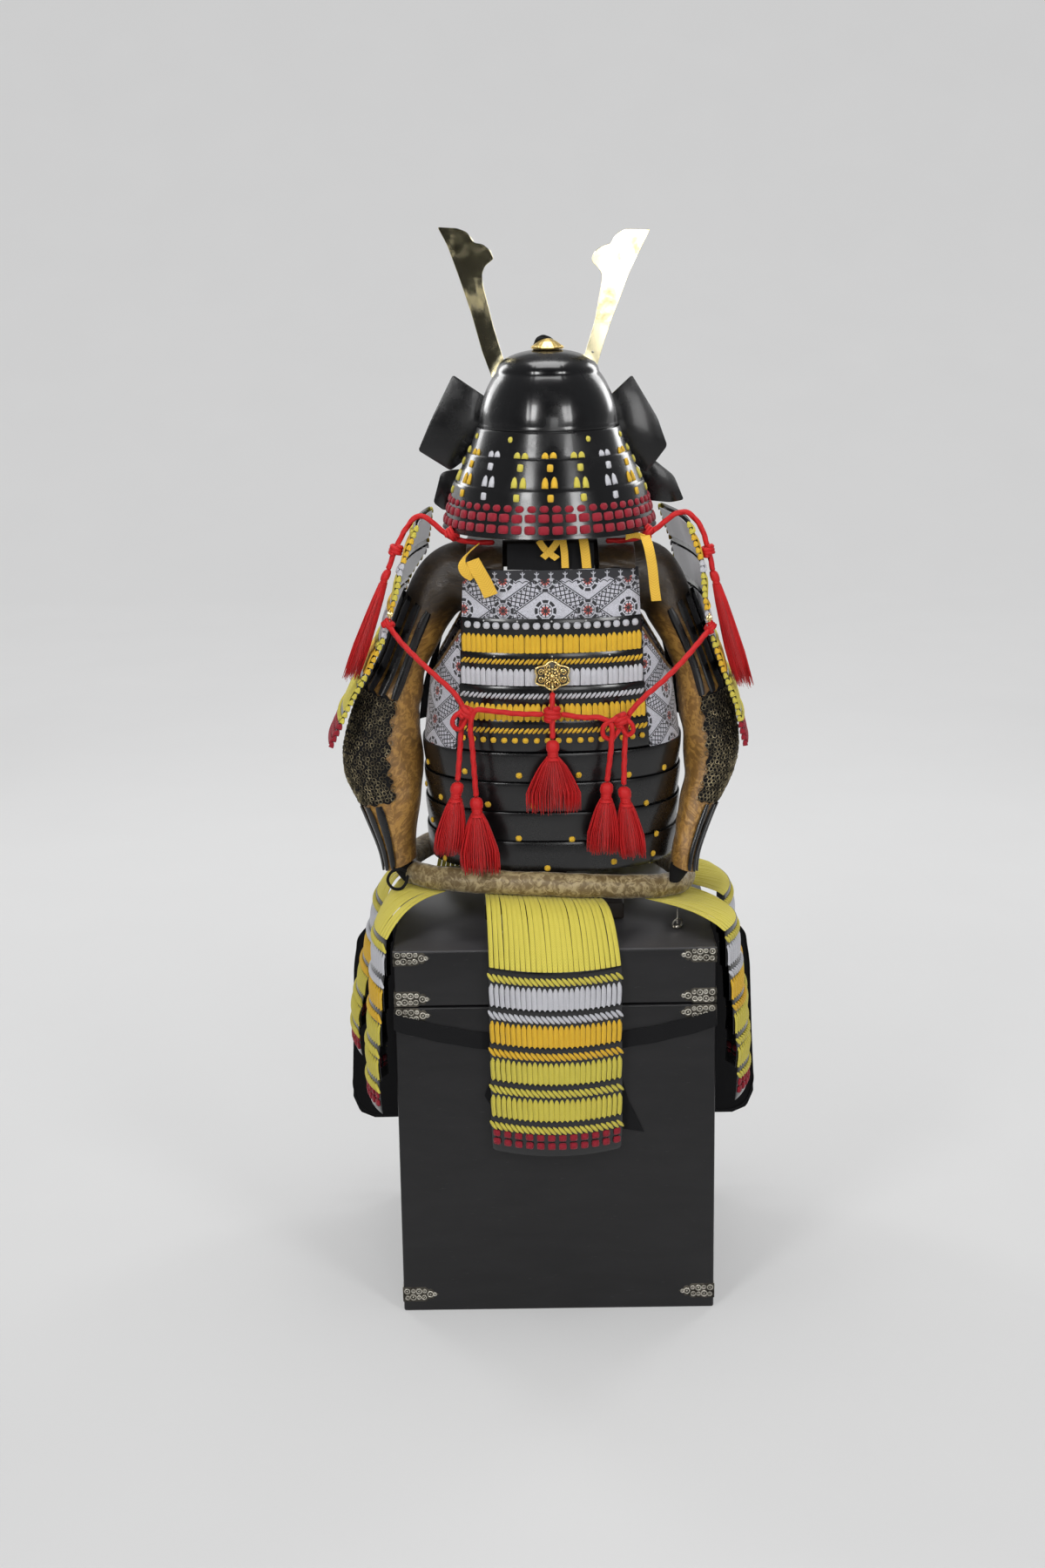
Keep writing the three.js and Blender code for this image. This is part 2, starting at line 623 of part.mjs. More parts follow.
// Thigh guard: two black cloth panels before the chest, on a belt tied behind it
function addThighGuard() {
  const y = chest.depth / 2 + 4.8;
  for (const [sideName, sign] of [['left', -1], ['right', 1]]) {
    const rows = [
      { v: 508, a: 14, b: 320 }, { v: 484, a: 12, b: 341 }, { v: 430, a: 8, b: 350 },
      { v: 300, a: 5, b: 355 }, { v: 180, a: 5, b: 361 }, { v: 150, a: 12, b: 349 },
      { v: 138, a: 34, b: 322 },
    ];
    const surface = (s, v) => {
      const row = tableAt(rows, 'v', v);
      const wave = 3 * (1 + Math.sin(s * 9)) * (508 - v) / 370;
      return vec(sign * lerp(row.a, row.b, s), y + wave, v);
    };
    const geometry = wallOn(surface, spaced(11, 0, 1), rows.map(({ v }) => ({ v, out: 1 })), {
      inside: 1, axis: () => vec(0, 1, 0), innerRows: 6,
    });
    add(`thigh_guard_${sideName}`, geometry, finishes.blackCloth);
  }
}

// Belt of the thigh guard: a strap that sags behind the chest
function addBelt() {
  const half = 13.5;
  const thick = 3;
  const path = (out) => {
    const [halfX, halfY] = [chest.width / 2 + gap + out, chest.depth / 2 + gap + out];
    const corners = roundedRect(halfX, halfY, chest.corner + out, 0);
    const back = spaced(9, -0.9, 0.9).map((k) => vec(k * halfX, -halfY, 0));
    return [...corners.slice(0, 9), ...back, ...corners.slice(9)];
  };
  const sag = (p) => {
    const behind = Math.max(-p.y / chest.depth * 2, 0) > 0.99 ? 1 : 0;
    return 496 - behind * 40 * (1 - (p.x / (chest.width / 2)) ** 2);
  };
  const ring = (out, z) => path(out).map((p) => vec(p.x, p.y, sag(p) + z));
  const rings = [ring(0, -half), ring(thick, -half), ring(thick, half), ring(0, half)];
  add('belt', loft(rings, 'join'), finishes.blackCloth);
}

function tube(points, radius, sides = 8, steps = 20) {
  const path = new THREE.CatmullRomCurve3(points.map((p) => vec(...p)));
  const round = spaced(sides + 1, 0, 2 * Math.PI).slice(0, sides);
  const shape = new THREE.Shape(round.map((a) => (
    new THREE.Vector2(radius * Math.cos(a), radius * Math.sin(a))
  )));
  const options = { steps, extrudePath: path, bevelEnabled: false };
  return fromManifold(asManifold(new THREE.ExtrudeGeometry(shape, options)));
}

// Red cords: from each shoulder guard to a bow and down to a tassel, from the centre knot to
// each bow and down, and over each shoulder guard's top to an outer tassel
const cords = [
  { name: 'cord_left', steps: 16, points: [[-251, -109.4, 1105], [-232, -130, 1082], [-205, -146, 1056],
    [-176, -156, 1030], [-150, -163, 1006], [-137, -167, 985], [-139, -168, 950], [-146, -176, 869]] },
  { name: 'cord_right', steps: 16, points: [[249, -109.9, 1092], [228, -130, 1072], [204, -146, 1048],
    [174, -156, 1020], [140, -163, 992], [118, -167, 966], [113, -168, 930], [110, -178, 859]] },
  { name: 'knot_cord_left', steps: 13, points: [[-12, -172, 972], [-50, -176, 974], [-90, -178, 979],
    [-116, -180, 981], [-124, -181, 962], [-122, -181, 920], [-118, -181, 845]] },
  { name: 'knot_cord_right', steps: 12, points: [[14.1, -172, 972], [46, -176, 967], [76, -178, 966],
    [91, -180, 956], [91, -181, 925], [84, -181, 866]] },
  { name: 'guard_cord_left', steps: 12, points: [[-84, -70, 1223.1], [-112, -70, 1223.3],
    [-138, -73, 1228], [-153, -76, 1234], [-172, -80, 1250], [-188, -83, 1264], [-202, -85, 1267],
    [-220, -87, 1248], [-238, -89, 1214], [-249, -90, 1185.4]] },
  { name: 'guard_cord_right', steps: 12, points: [[88, -70, 1223.1], [116, -70, 1223.3],
    [140, -73, 1228], [155, -76, 1234], [176, -80, 1250], [194, -83, 1264], [212, -85, 1267.2],
    [232, -87, 1248], [246, -89, 1208], [253, -90, 1176]] },
];

// Tassels: where the head's top and the strands' feet are, and how wide the feet spread
const tassels = [
  { name: 'left_1', top: [-146, -176, 867.8], foot: [-163, -178, 752], wide: 19, deep: 15 },
  { name: 'left_2', top: [-118, -181, 844.5], foot: [-113, -183, 722], wide: 25, deep: 15 },
  { name: 'right_1', top: [84, -181, 865.5], foot: [77, -183, 752], wide: 21, deep: 15 },
  { name: 'right_2', top: [110, -178, 857.4], foot: [124, -180, 744], wide: 17, deep: 14 },
  { name: 'centre', top: [1, -178, 932.5], foot: [2, -182, 818], wide: 36, deep: 15 },
  { name: 'guard_left', top: [-250.3, -90, 1183.3], foot: [-312, -94, 1018], wide: 12, deep: 24,
    head: 0.7 },
  { name: 'guard_right', top: [253.6, -90, 1174.5], foot: [303, -94, 998], wide: 13, deep: 25,
    head: 0.7 },
];

function addCords() {
  for (const { name, points, steps } of cords) {
    add(name, tube(points, cordRadius, 8, steps), finishes.redSilk);
  }
  const knot = [
    { z: 1002, y: -160, r: 4.5 }, { z: 985, y: -168, r: 4.5 }, { z: 981, y: -171, r: 11 },
    { z: 972, y: -172, r: 13 }, { z: 963, y: -173, r: 11 }, { z: 959, y: -174, r: 4.5 },
    { z: 933, y: -178, r: 4.5 },
  ];
  const rings = knot.map(({ z, y, r }) => ovalRing(1, y, r, r, z, 10));
  add('centre_knot', loft(rings), finishes.redSilk);
}

function addTassels() {
  for (const { name, top, foot, wide, deep, head = 1 } of tassels) {
    const lean = vec(...foot).sub(vec(...top));
    const headLength = 30;
    const neck = vec(...top).addScaledVector(lean, headLength / lean.length());
    const headRings = [
      { t: 0, r: 5 }, { t: 0.25, r: 9.5 }, { t: 0.55, r: 9 }, { t: 0.7, r: 7.5 }, { t: 1, r: 11.5 },
    ].map(({ t, r }) => {
      const centre = vec(...top).lerp(neck, t);
      const radius = r * (t === 0 ? 1 : head);
      return ovalRing(centre.x, centre.y, radius, radius, centre.z, 10);
    });
    const strands = [[8, 1], [3, 0.45]].flatMap(([count, reach]) => (
      spaced(count + 1, 0, 2 * Math.PI).slice(0, count).map((a) => {
        const at = (t, spread, r) => {
          const centre = neck.clone().lerp(vec(...foot), t);
          const x = centre.x + Math.sin(a) * lerp(8 * head, wide, spread) * reach;
          const y = centre.y - Math.cos(a) * lerp(8 * head, deep, spread) * reach;
          return [0, 1, 2].map((k) => {
            const turn = a + k * 2 * Math.PI / 3;
            return vec(x + r * Math.sin(turn), y - r * Math.cos(turn), centre.z);
          });
        };
        return loft([at(-0.04, 0, 2.6), at(0.5, 0.75, 3.6), at(1, 1, 3.2)]);
      })
    ));
    add(`tassel_${name}`, joined(loft(headRings), ...strands), finishes.redSilk);
  }
}

// Gilt openwork fitting on the back panel, with the ring that the cords pass
function addOrnament() {
  const lobes = spaced(25, 0, 2 * Math.PI).slice(0, 24).map((a) => {
    const r = 21 + 3 * Math.cos(6 * a);
    return [torso.centreX + 1.3 * r * Math.sin(a), 1028 + r * Math.cos(a)];
  });
  const back = plate(lobes, 2.4, -151.3);
  const holes = spaced(5, 45, 405).slice(0, 4).map((degrees) => {
    const a = THREE.MathUtils.degToRad(degrees);
    const hole = new THREE.CylinderGeometry(3.4, 3.4, 10, 6);
    hole.translate(torso.centreX + 17 * Math.sin(a), -152, 1028 + 13 * Math.cos(a));
    return hole;
  });
  const knob = new THREE.CylinderGeometry(8, 9, 8, 8);
  knob.rotateX(Math.PI);
  knob.translate(torso.centreX, -155, 1028);
  const eye = new THREE.TorusGeometry(7, 1.6, 4, 10);
  eye.rotateY(Math.PI / 2);
  eye.translate(torso.centreX, -158, 1011);
  const pierced = cut(back, ...holes);
  add('back_fitting', joined(pierced, knob, eye), finishes.giltOrnament);
}

addChest();
addStand();
addCuirass();
addStraps();
addWaistRoll();
addTassets();
addHelmet();
addTurnbacks();
addCrest();
addCrownFitting();
addShoulderGuards();
addSleeves();
addThighGuard();
addBelt();
addCords();
addTassels();
addOrnament();

export default armour;
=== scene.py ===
import math
import random

import bpy
import numpy as np
from mathutils import Matrix, Vector


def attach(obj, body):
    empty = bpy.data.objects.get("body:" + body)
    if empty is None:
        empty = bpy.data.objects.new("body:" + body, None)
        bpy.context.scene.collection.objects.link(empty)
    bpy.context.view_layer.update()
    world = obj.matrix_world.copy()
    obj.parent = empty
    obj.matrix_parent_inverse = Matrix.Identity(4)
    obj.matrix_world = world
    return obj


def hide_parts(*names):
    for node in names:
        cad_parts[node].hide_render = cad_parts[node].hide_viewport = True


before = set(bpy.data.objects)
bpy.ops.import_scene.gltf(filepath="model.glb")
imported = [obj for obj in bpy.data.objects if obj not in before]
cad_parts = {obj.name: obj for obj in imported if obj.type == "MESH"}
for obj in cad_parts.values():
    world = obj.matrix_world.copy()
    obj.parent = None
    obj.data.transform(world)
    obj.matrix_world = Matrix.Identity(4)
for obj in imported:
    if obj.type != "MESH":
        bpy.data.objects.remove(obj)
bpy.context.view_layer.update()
bpy.ops.object.select_all(action="DESELECT")
mm = 0.001


def lerp(a, b, t):
    return a + (b - a) * t


def spaced(count, start=-1.0, end=1.0):
    return [lerp(start, end, i / (count - 1)) for i in range(count)]


def rowAt(rows, value):  # a table row at a value of its first column, straight between rows
    ordered = sorted(rows, key=lambda row: row[0])
    i = 0
    while i < len(ordered) - 2 and ordered[i + 1][0] < value:
        i += 1
    low, high = ordered[i], ordered[i + 1]
    t = (value - low[0]) / (high[0] - low[0])
    return [lerp(a, b, t) for a, b in zip(low, high)]


def spanAt(count, share):  # which of the spans between rows a share from 0 to 1 is in, and where
    f = share * (count - 1)
    i = min(int(f), count - 2)
    return i, f - i


def curveAt(rows, share):  # a smooth curve through the rows, by a share from 0 to 1
    i, u = spanAt(len(rows), share)
    four = [rows[min(max(i + k, 0), len(rows) - 1)] for k in (-1, 0, 1, 2)]
    return [0.5 * (2 * b + (c - a) * u + (2 * a - 5 * b + 4 * c - d) * u * u
                   + (3 * b - a - 3 * c + d) * u ** 3) for a, b, c, d in zip(*four)]


def evenColumns(count):  # the middles of equal columns from -1 to 1
    return [-1 + (2 * i + 1) / count for i in range(count)]


def circleRoute(x, y, z, deep, high, count):  # a closed upright ring of points
    turns = [2 * math.pi * k / count for k in range(count + 1)]
    return [(x, y - deep * math.sin(a), z + high * math.cos(a)) for a in turns]


# Camera at the photograph's height, distance and slight tilt
cameraSetup = {"place": (-0.038, -3.43, 1.6975), "pitch": 0.251, "pan": -0.0025, "roll": -0.0151,
               "lens": 50}


def addCamera():
    pitch, pan, roll = (cameraSetup[key] for key in ("pitch", "pan", "roll"))
    forward = Vector((math.sin(pan) * math.cos(pitch), math.cos(pan) * math.cos(pitch),
                      -math.sin(pitch)))
    right = Vector((math.cos(pan), -math.sin(pan), 0))
    up = right.cross(forward)
    xAxis = right * math.cos(roll) + up * math.sin(roll)
    yAxis = up * math.cos(roll) - right * math.sin(roll)
    data = bpy.data.cameras.new("camera")
    data.lens = cameraSetup["lens"]
    data.sensor_fit = "VERTICAL"
    data.sensor_height = 36
    camera = bpy.data.objects.new("camera", data)
    camera.matrix_world = Matrix.Translation(cameraSetup["place"]) @ Matrix(
        (xAxis, yAxis, -forward)).transposed().to_4x4()
    bpy.context.scene.collection.objects.link(camera)
    bpy.context.scene.camera = camera


addCamera()
print("camera placed")


# A shader's output socket, so that shader maths reads as plain expressions
class Value:
    def __init__(self, shader, output):
        self.shader = shader
        self.output = output


def addOperator(name, operation):
    setattr(Value, f"__{name}__", lambda a, b: a.shader.maths(operation, a, b))
    setattr(Value, f"__r{name}__", lambda a, b: a.shader.maths(operation, b, a))


for name, operation in (("add", "ADD"), ("sub", "SUBTRACT"), ("mul", "MULTIPLY"),
                        ("truediv", "DIVIDE")):
    addOperator(name, operation)


# One material: its nodes, and what feeds its surface
class Shader:
    def __init__(self, name, **uniform):
        self.material = bpy.data.materials.new(name)
        self.material.use_nodes = True
        self.tree = self.material.node_tree
        self.surface = self.tree.nodes["Principled BSDF"]
        for key, value in uniform.items():
            self.surface.inputs[key.replace("_", " ")].default_value = value

    def node(self, kind, inputs=(), output=0, stops=None, **settings):
        made = self.tree.nodes.new(kind)
        for key, value in settings.items():
            setattr(made, key, value)
        if stops:
            ramp = made.color_ramp
            while len(ramp.elements) < len(stops):
                ramp.elements.new(1.0)
            for element, (position, colour) in zip(ramp.elements, stops):
                element.position = position
                element.color = (*colour, 1.0)
        for key, value in dict(inputs).items():
            self.feed(made.inputs[key], value)
        return Value(self, made.outputs[output])

    def feed(self, socket, value):
        if isinstance(value, Value):
            self.tree.links.new(value.output, socket)
        elif hasattr(value, "__len__") and len(value) == 3 and socket.type == "RGBA":
            socket.default_value = (*value, 1.0)
        else:
            socket.default_value = value

    def set(self, **inputs):
        for key, value in inputs.items():
            self.feed(self.surface.inputs[key.replace("_", " ")], value)
        return self

    def maths(self, operation, a, b=0.0, c=0.0, clamp=False):
        return self.node("ShaderNodeMath", {0: a, 1: b, 2: c}, operation=operation,
                         use_clamp=clamp)

    def place(self, scale=(1, 1, 1), turn=(0, 0, 0), of="Object"):
        source = self.node("ShaderNodeTexCoord", output=of)
        return self.node("ShaderNodeMapping", {"Vector": source, "Scale": scale, "Rotation": turn})

    def axes(self, of="UV"):
        source = self.node("ShaderNodeTexCoord", output=of)
        parts = self.tree.nodes.new("ShaderNodeSeparateXYZ")
        self.tree.links.new(source.output, parts.inputs[0])
        return [Value(self, parts.outputs[i]) for i in range(3)]

    def noise(self, scale, detail=4.0, roughness=0.5, vector=None, distortion=0.0):
        vector = vector or self.place()
        return self.node("ShaderNodeTexNoise", {
            "Vector": vector, "Scale": scale, "Detail": detail, "Roughness": roughness,
            "Distortion": distortion})

    def step(self, value, low, high):  # 0 below low, 1 above high, smooth between
        return self.node("ShaderNodeMapRange", {
            "Value": value, "From Min": low, "From Max": high}, interpolation_type="SMOOTHSTEP")

    def wrap(self, value, period):  # distance to the nearest whole period
        return self.maths("ABSOLUTE", self.maths("WRAP", value, period / 2, -period / 2))

    def mix(self, factor, a, b):
        return self.node("ShaderNodeMix", {0: factor, 6: a, 7: b}, output=2, data_type="RGBA")

    def most(self, *values):
        largest = values[0]
        for value in values[1:]:
            largest = self.maths("MAXIMUM", largest, value)
        return largest

    def bump(self, height, strength=0.5, distance=0.001):
        return self.node("ShaderNodeBump", {
            "Height": height, "Strength": strength, "Distance": distance})

    def wave(self, value, period):  # 0 to 1 and back over each period
        return self.maths("SINE", value * (2 * math.pi / period)) * 0.5 + 0.5


def paintLacquer(name, tone, roughness, coat, dust=0.25):
    paint = Shader(name, IOR=1.5, Coat_Roughness=0.08)
    cloud = paint.noise(14, 5, 0.6)
    speck = paint.noise(260, 3, 0.7)
    smudge = paint.step(cloud, 0.45, 0.75)
    light = [min(channel * 2.2 + 0.006, 1) for channel in tone]
    dulled = smudge * dust + paint.step(speck, 0.66, 0.8) * (dust * 0.8)
    shade = paint.mix(dulled, tone, light)
    ripple = paint.noise(55, 3, 0.5) * 0.7 + speck * 0.06
    return paint.set(
        Base_Color=shade,
        Roughness=roughness + smudge * 0.14 + speck * 0.05,
        Coat_Weight=coat - smudge * coat * 0.35,
        Normal=paint.bump(ripple, 0.18, 0.0008)).material


def paintWood(name, tone, dark, roughness, grain, coat=0.0):
    paint = Shader(name, IOR=1.38, Coat_Roughness=0.3)
    along = paint.place(scale=grain)
    fibre = paint.noise(30, 6, 0.65, along, 0.4)
    cloud = paint.noise(5, 4, 0.6)
    scratch = paint.step(paint.noise(420, 2, 0.6, paint.place(scale=(0.12, 1, 1))), 0.69, 0.78)
    shade = paint.mix(paint.step(fibre, 0.3, 0.75) * 0.6 + cloud * 0.4, dark, tone)
    shade = paint.mix(scratch * 0.35, shade, [min(channel * 3 + 0.02, 1) for channel in tone])
    return paint.set(
        Base_Color=shade,
        Roughness=roughness + fibre * 0.12 - cloud * 0.08,
        Coat_Weight=coat,
        Normal=paint.bump(fibre * 0.6 + scratch * 0.4, 0.16, 0.0005)).material


def paintMetal(name, tone, dark, roughness, tarnish, scale=40, relief=0.22):
    paint = Shader(name, Metallic=1.0)
    cloud = paint.noise(scale, 6, 0.65, distortion=0.3)
    fine = paint.noise(scale * 9, 4, 0.7)
    stain = paint.step(cloud, 0.5 - tarnish * 0.3, 0.78 - tarnish * 0.3)
    shade = paint.mix(stain * 0.85, tone, dark)
    return paint.set(
        Base_Color=shade,
        Roughness=roughness + stain * 0.22 + fine * 0.08,
        Normal=paint.bump(fine * 0.4 + cloud * 0.6, relief, 0.0006)).material


def paintBraid(name, tone, shadow, rib=0.0016):
    # flat silk braid: fine slanted plaits with a soft sheen; the UV runs along each braid in metres
    paint = Shader(name, Sheen_Weight=0.12, Sheen_Roughness=0.4, IOR=1.42)
    across, along, _ = paint.axes("UV")
    plait = paint.wave(along + paint.maths("ABSOLUTE", across) * 0.7, rib)
    cloud = paint.noise(35, 4, 0.6)
    fuzz = paint.noise(900, 2, 0.6)
    shade = paint.mix(plait * 0.45 + cloud * 0.3 + fuzz * 0.15, shadow, tone)
    return paint.set(
        Base_Color=shade,
        Roughness=0.62 + fuzz * 0.12 + cloud * 0.1,
        Normal=paint.bump(plait * 0.8 + fuzz * 0.3, 0.45, 0.0005)).material


def paintSilk(name, tone, shadow):
    # red silk cord and floss: strands along the piece
    paint = Shader(name, Sheen_Weight=0.12, Sheen_Roughness=0.35, IOR=1.42)
    strand = paint.noise(1.0, 4, 0.7, paint.node("ShaderNodeMapping", {
        "Vector": paint.node("ShaderNodeTexCoord", output="UV"), "Scale": (2600, 60, 1)}))
    cloud = paint.noise(28, 4, 0.6)
    shade = paint.mix(strand * 0.65 + cloud * 0.35, shadow, tone)
    return paint.set(
        Base_Color=shade,
        Roughness=0.48 + strand * 0.2,
        Normal=paint.bump(strand, 0.5, 0.0006)).material


# Pale brocade: wheels in rows, a zigzag band of lattice, and small sprouts along a top edge
brocade = {"ground": (0.6, 0.6, 0.66), "ink": (0.018, 0.018, 0.022), "red": (0.6, 0.055, 0.02),
           "across": 0.0655, "down": 0.045, "wheel": 0.0165, "band": 0.0125}


def paintBrocade(name, topEdge=None):
    paint = Shader(name, Sheen_Weight=0.25, Sheen_Roughness=0.5, IOR=1.45)
    u, v, _ = paint.axes("UV")
    wide, high, wheel, band = (brocade[key] for key in ("across", "down", "wheel", "band"))
    a = paint.maths("WRAP", u + 0.009, wide / 2, -wide / 2)
    b = paint.maths("WRAP", v, high / 2, -high / 2)
    r = paint.maths("SQRT", a * a + b * b)
    turn = paint.maths("ARCTAN2", b, a)
    spoke = paint.wrap(turn, math.pi / 4) * r
    soft = 0.0004

    def between(value, low, high):
        return paint.step(value, low - soft, low + soft) * (
            1 - paint.step(value, high - soft, high + soft))

    gaps = paint.step(paint.wrap(turn + math.pi / 8, math.pi / 4) * r, 0.0009, 0.0016)
    rim = between(r, wheel - 0.0046, wheel + 0.0002) * gaps
    innerRim = between(r, wheel - 0.0072, wheel - 0.0062)
    hub = 1 - paint.step(r, wheel - 0.007, wheel - 0.006)
    spokes = (1 - paint.step(spoke, 0.0007, 0.0013)) * hub
    petals = (1 - paint.step(r, 0.0062, 0.0072)) * paint.step(spoke, 0.0005, 0.001)
    petals = petals * paint.step(r, 0.0014, 0.0022)
    inWheel = 1 - paint.step(r, wheel, wheel + soft * 2)

    climb = paint.wrap(u + 0.009, wide * 2)
    slope = high / wide
    level, rise = math.cos(math.atan(slope)), math.sin(math.atan(slope))
    ladder = 0.0
    for sense in (1.0, -1.0):
        off = paint.maths("WRAP", v - climb * (slope * sense), high, -high) * level
        side = paint.maths("ABSOLUTE", off)
        run = climb * level + v * (sense * rise)
        crossA = paint.wrap(run + off, 0.0092)
        crossB = paint.wrap(run - off, 0.0092)
        cross = 1 - paint.step(paint.maths("MINIMUM", crossA, crossB), 0.0008, 0.0015)
        edge = between(side, band - 0.0046, band - 0.0024) * paint.step(
            paint.wrap(run, 0.0062), 0.0006, 0.0011)
        outer = between(side, band - 0.0014, band + 0.0002)
        crossed = cross * (1 - paint.step(side, band - 0.005, band - 0.0044))
        ladder = paint.most(edge, outer, crossed, ladder)
    ladder = ladder * (1 - inWheel * 0.65)

    vine = paint.noise(420, 3, 0.6, paint.node("ShaderNodeTexCoord", output="UV"), 1.2)
    vines = between(vine, 0.49, 0.52) * 0.75
    ink = paint.most(rim, innerRim, spokes, ladder, vines * (1 - inWheel))
    if topEdge is not None:
        scallop = topEdge - 0.017 + paint.maths("ABSOLUTE", paint.maths(
            "SINE", u * (math.pi / 0.0109))) * 0.003
        above = v - scallop
        beyond = paint.step(above, -soft, soft)
        sprout = paint.wrap(u, 0.0218)
        stem = (1 - paint.step(sprout, 0.0006, 0.0012)) * (1 - paint.step(above, 0.0135, 0.0145))
        arms = (1 - paint.step(sprout, 0.0032, 0.004)) * between(above, 0.0085, 0.0103)
        foot = 1 - paint.step(sprout + above * 1.1, 0.0052, 0.0062)
        ink = paint.mix(beyond, ink, 1 - paint.most(stem, arms, foot) * 0.75)
        ink = paint.most(ink, between(above, -0.0032, -0.0016))
    weave = paint.wave(u, 0.0011) * 0.5 + paint.wave(v, 0.0011) * 0.5
    cloud = paint.noise(26, 4, 0.6)
    shade = paint.mix(weave * 0.22 + cloud * 0.3, brocade["ground"],
                      [channel * 0.74 for channel in brocade["ground"]])
    shade = paint.mix(petals * 0.9, shade, brocade["red"])
    shade = paint.mix(ink, shade, brocade["ink"])
    return paint.set(
        Base_Color=shade,
        Roughness=0.66 + weave * 0.12,
        Normal=paint.bump(weave * 0.6 + ink * 0.5, 0.35, 0.0004)).material


def paintSatin(name, gold, brown, dark, figure=1.0, paintedShadeFrom=9.0):
    # brown and gold figured satin: leafy scrolls that catch the light over a darker ground, and
    # painted shade above the height paintedShadeFrom
    paint = Shader(name, Sheen_Weight=0.3, Sheen_Roughness=0.3, IOR=1.5)
    vector = paint.node("ShaderNodeTexCoord", output="UV")
    leaf = paint.noise(78, 4, 0.6, vector, 1.6)
    vein = paint.node("ShaderNodeTexVoronoi", {"Vector": vector, "Scale": 85.0},
                      feature="SMOOTH_F1")
    shape = paint.step(leaf + vein * 0.25, 0.52, 0.74)
    u, v, _ = paint.axes("UV")
    thread = paint.wave(u + v * 0.35, 0.0009)
    cloud = paint.noise(12, 4, 0.6)
    shade = paint.mix(shape * figure, brown, gold)
    shade = paint.mix(paint.step(cloud, 0.5, 0.8) * 0.55 + thread * 0.12, shade, dark)
    # above paintedShadeFrom the satin is painted almost black: painted shade on the tops of the
    # sleeves near the shoulders, which also darkens the shoulder straps lying higher
    height = paint.axes("Object")[2]
    shade = paint.mix(paint.step(height + cloud * 0.03, paintedShadeFrom, paintedShadeFrom + 0.07) * 0.93, shade,
                      (0.006, 0.005, 0.004))
    return paint.set(
        Base_Color=shade,
        Roughness=0.36 + thread * 0.14 - shape * 0.08,
        Normal=paint.bump(shape * 0.7 + thread * 0.35, 0.4, 0.0006)).material


def paintCloth(name, tone, weave=0.0014):
    paint = Shader(name, Sheen_Weight=0.02, Sheen_Roughness=0.6, Specular_IOR_Level=0.15)
    u, v, _ = paint.axes("UV")
    warp = paint.wave(u, weave)
    weft = paint.wave(v, weave)
    cloud = paint.noise(20, 4, 0.6)
    light = [channel * 2.4 + 0.006 for channel in tone]
    shade = paint.mix(warp * 0.25 + weft * 0.25 + cloud * 0.4, tone, light)
    return paint.set(
        Base_Color=shade,
        Roughness=0.86 + cloud * 0.08,
        Normal=paint.bump(warp * 0.5 + weft * 0.5, 0.4, 0.0004)).material


def paintFloor(name, tone):
    paint = Shader(name, Roughness=0.85, Emission_Strength=1.0)
    cloud = paint.noise(3, 3, 0.5)
    _, y, z = paint.axes("Object")
    glow = 0.3 + paint.step(y + z, -1.5, 5.0) * 0.25 - cloud * 0.02
    shade = paint.mix(cloud * 0.06, tone, [channel * 0.93 for channel in tone])
    return paint.set(Base_Color=shade, Emission_Color=glow).material


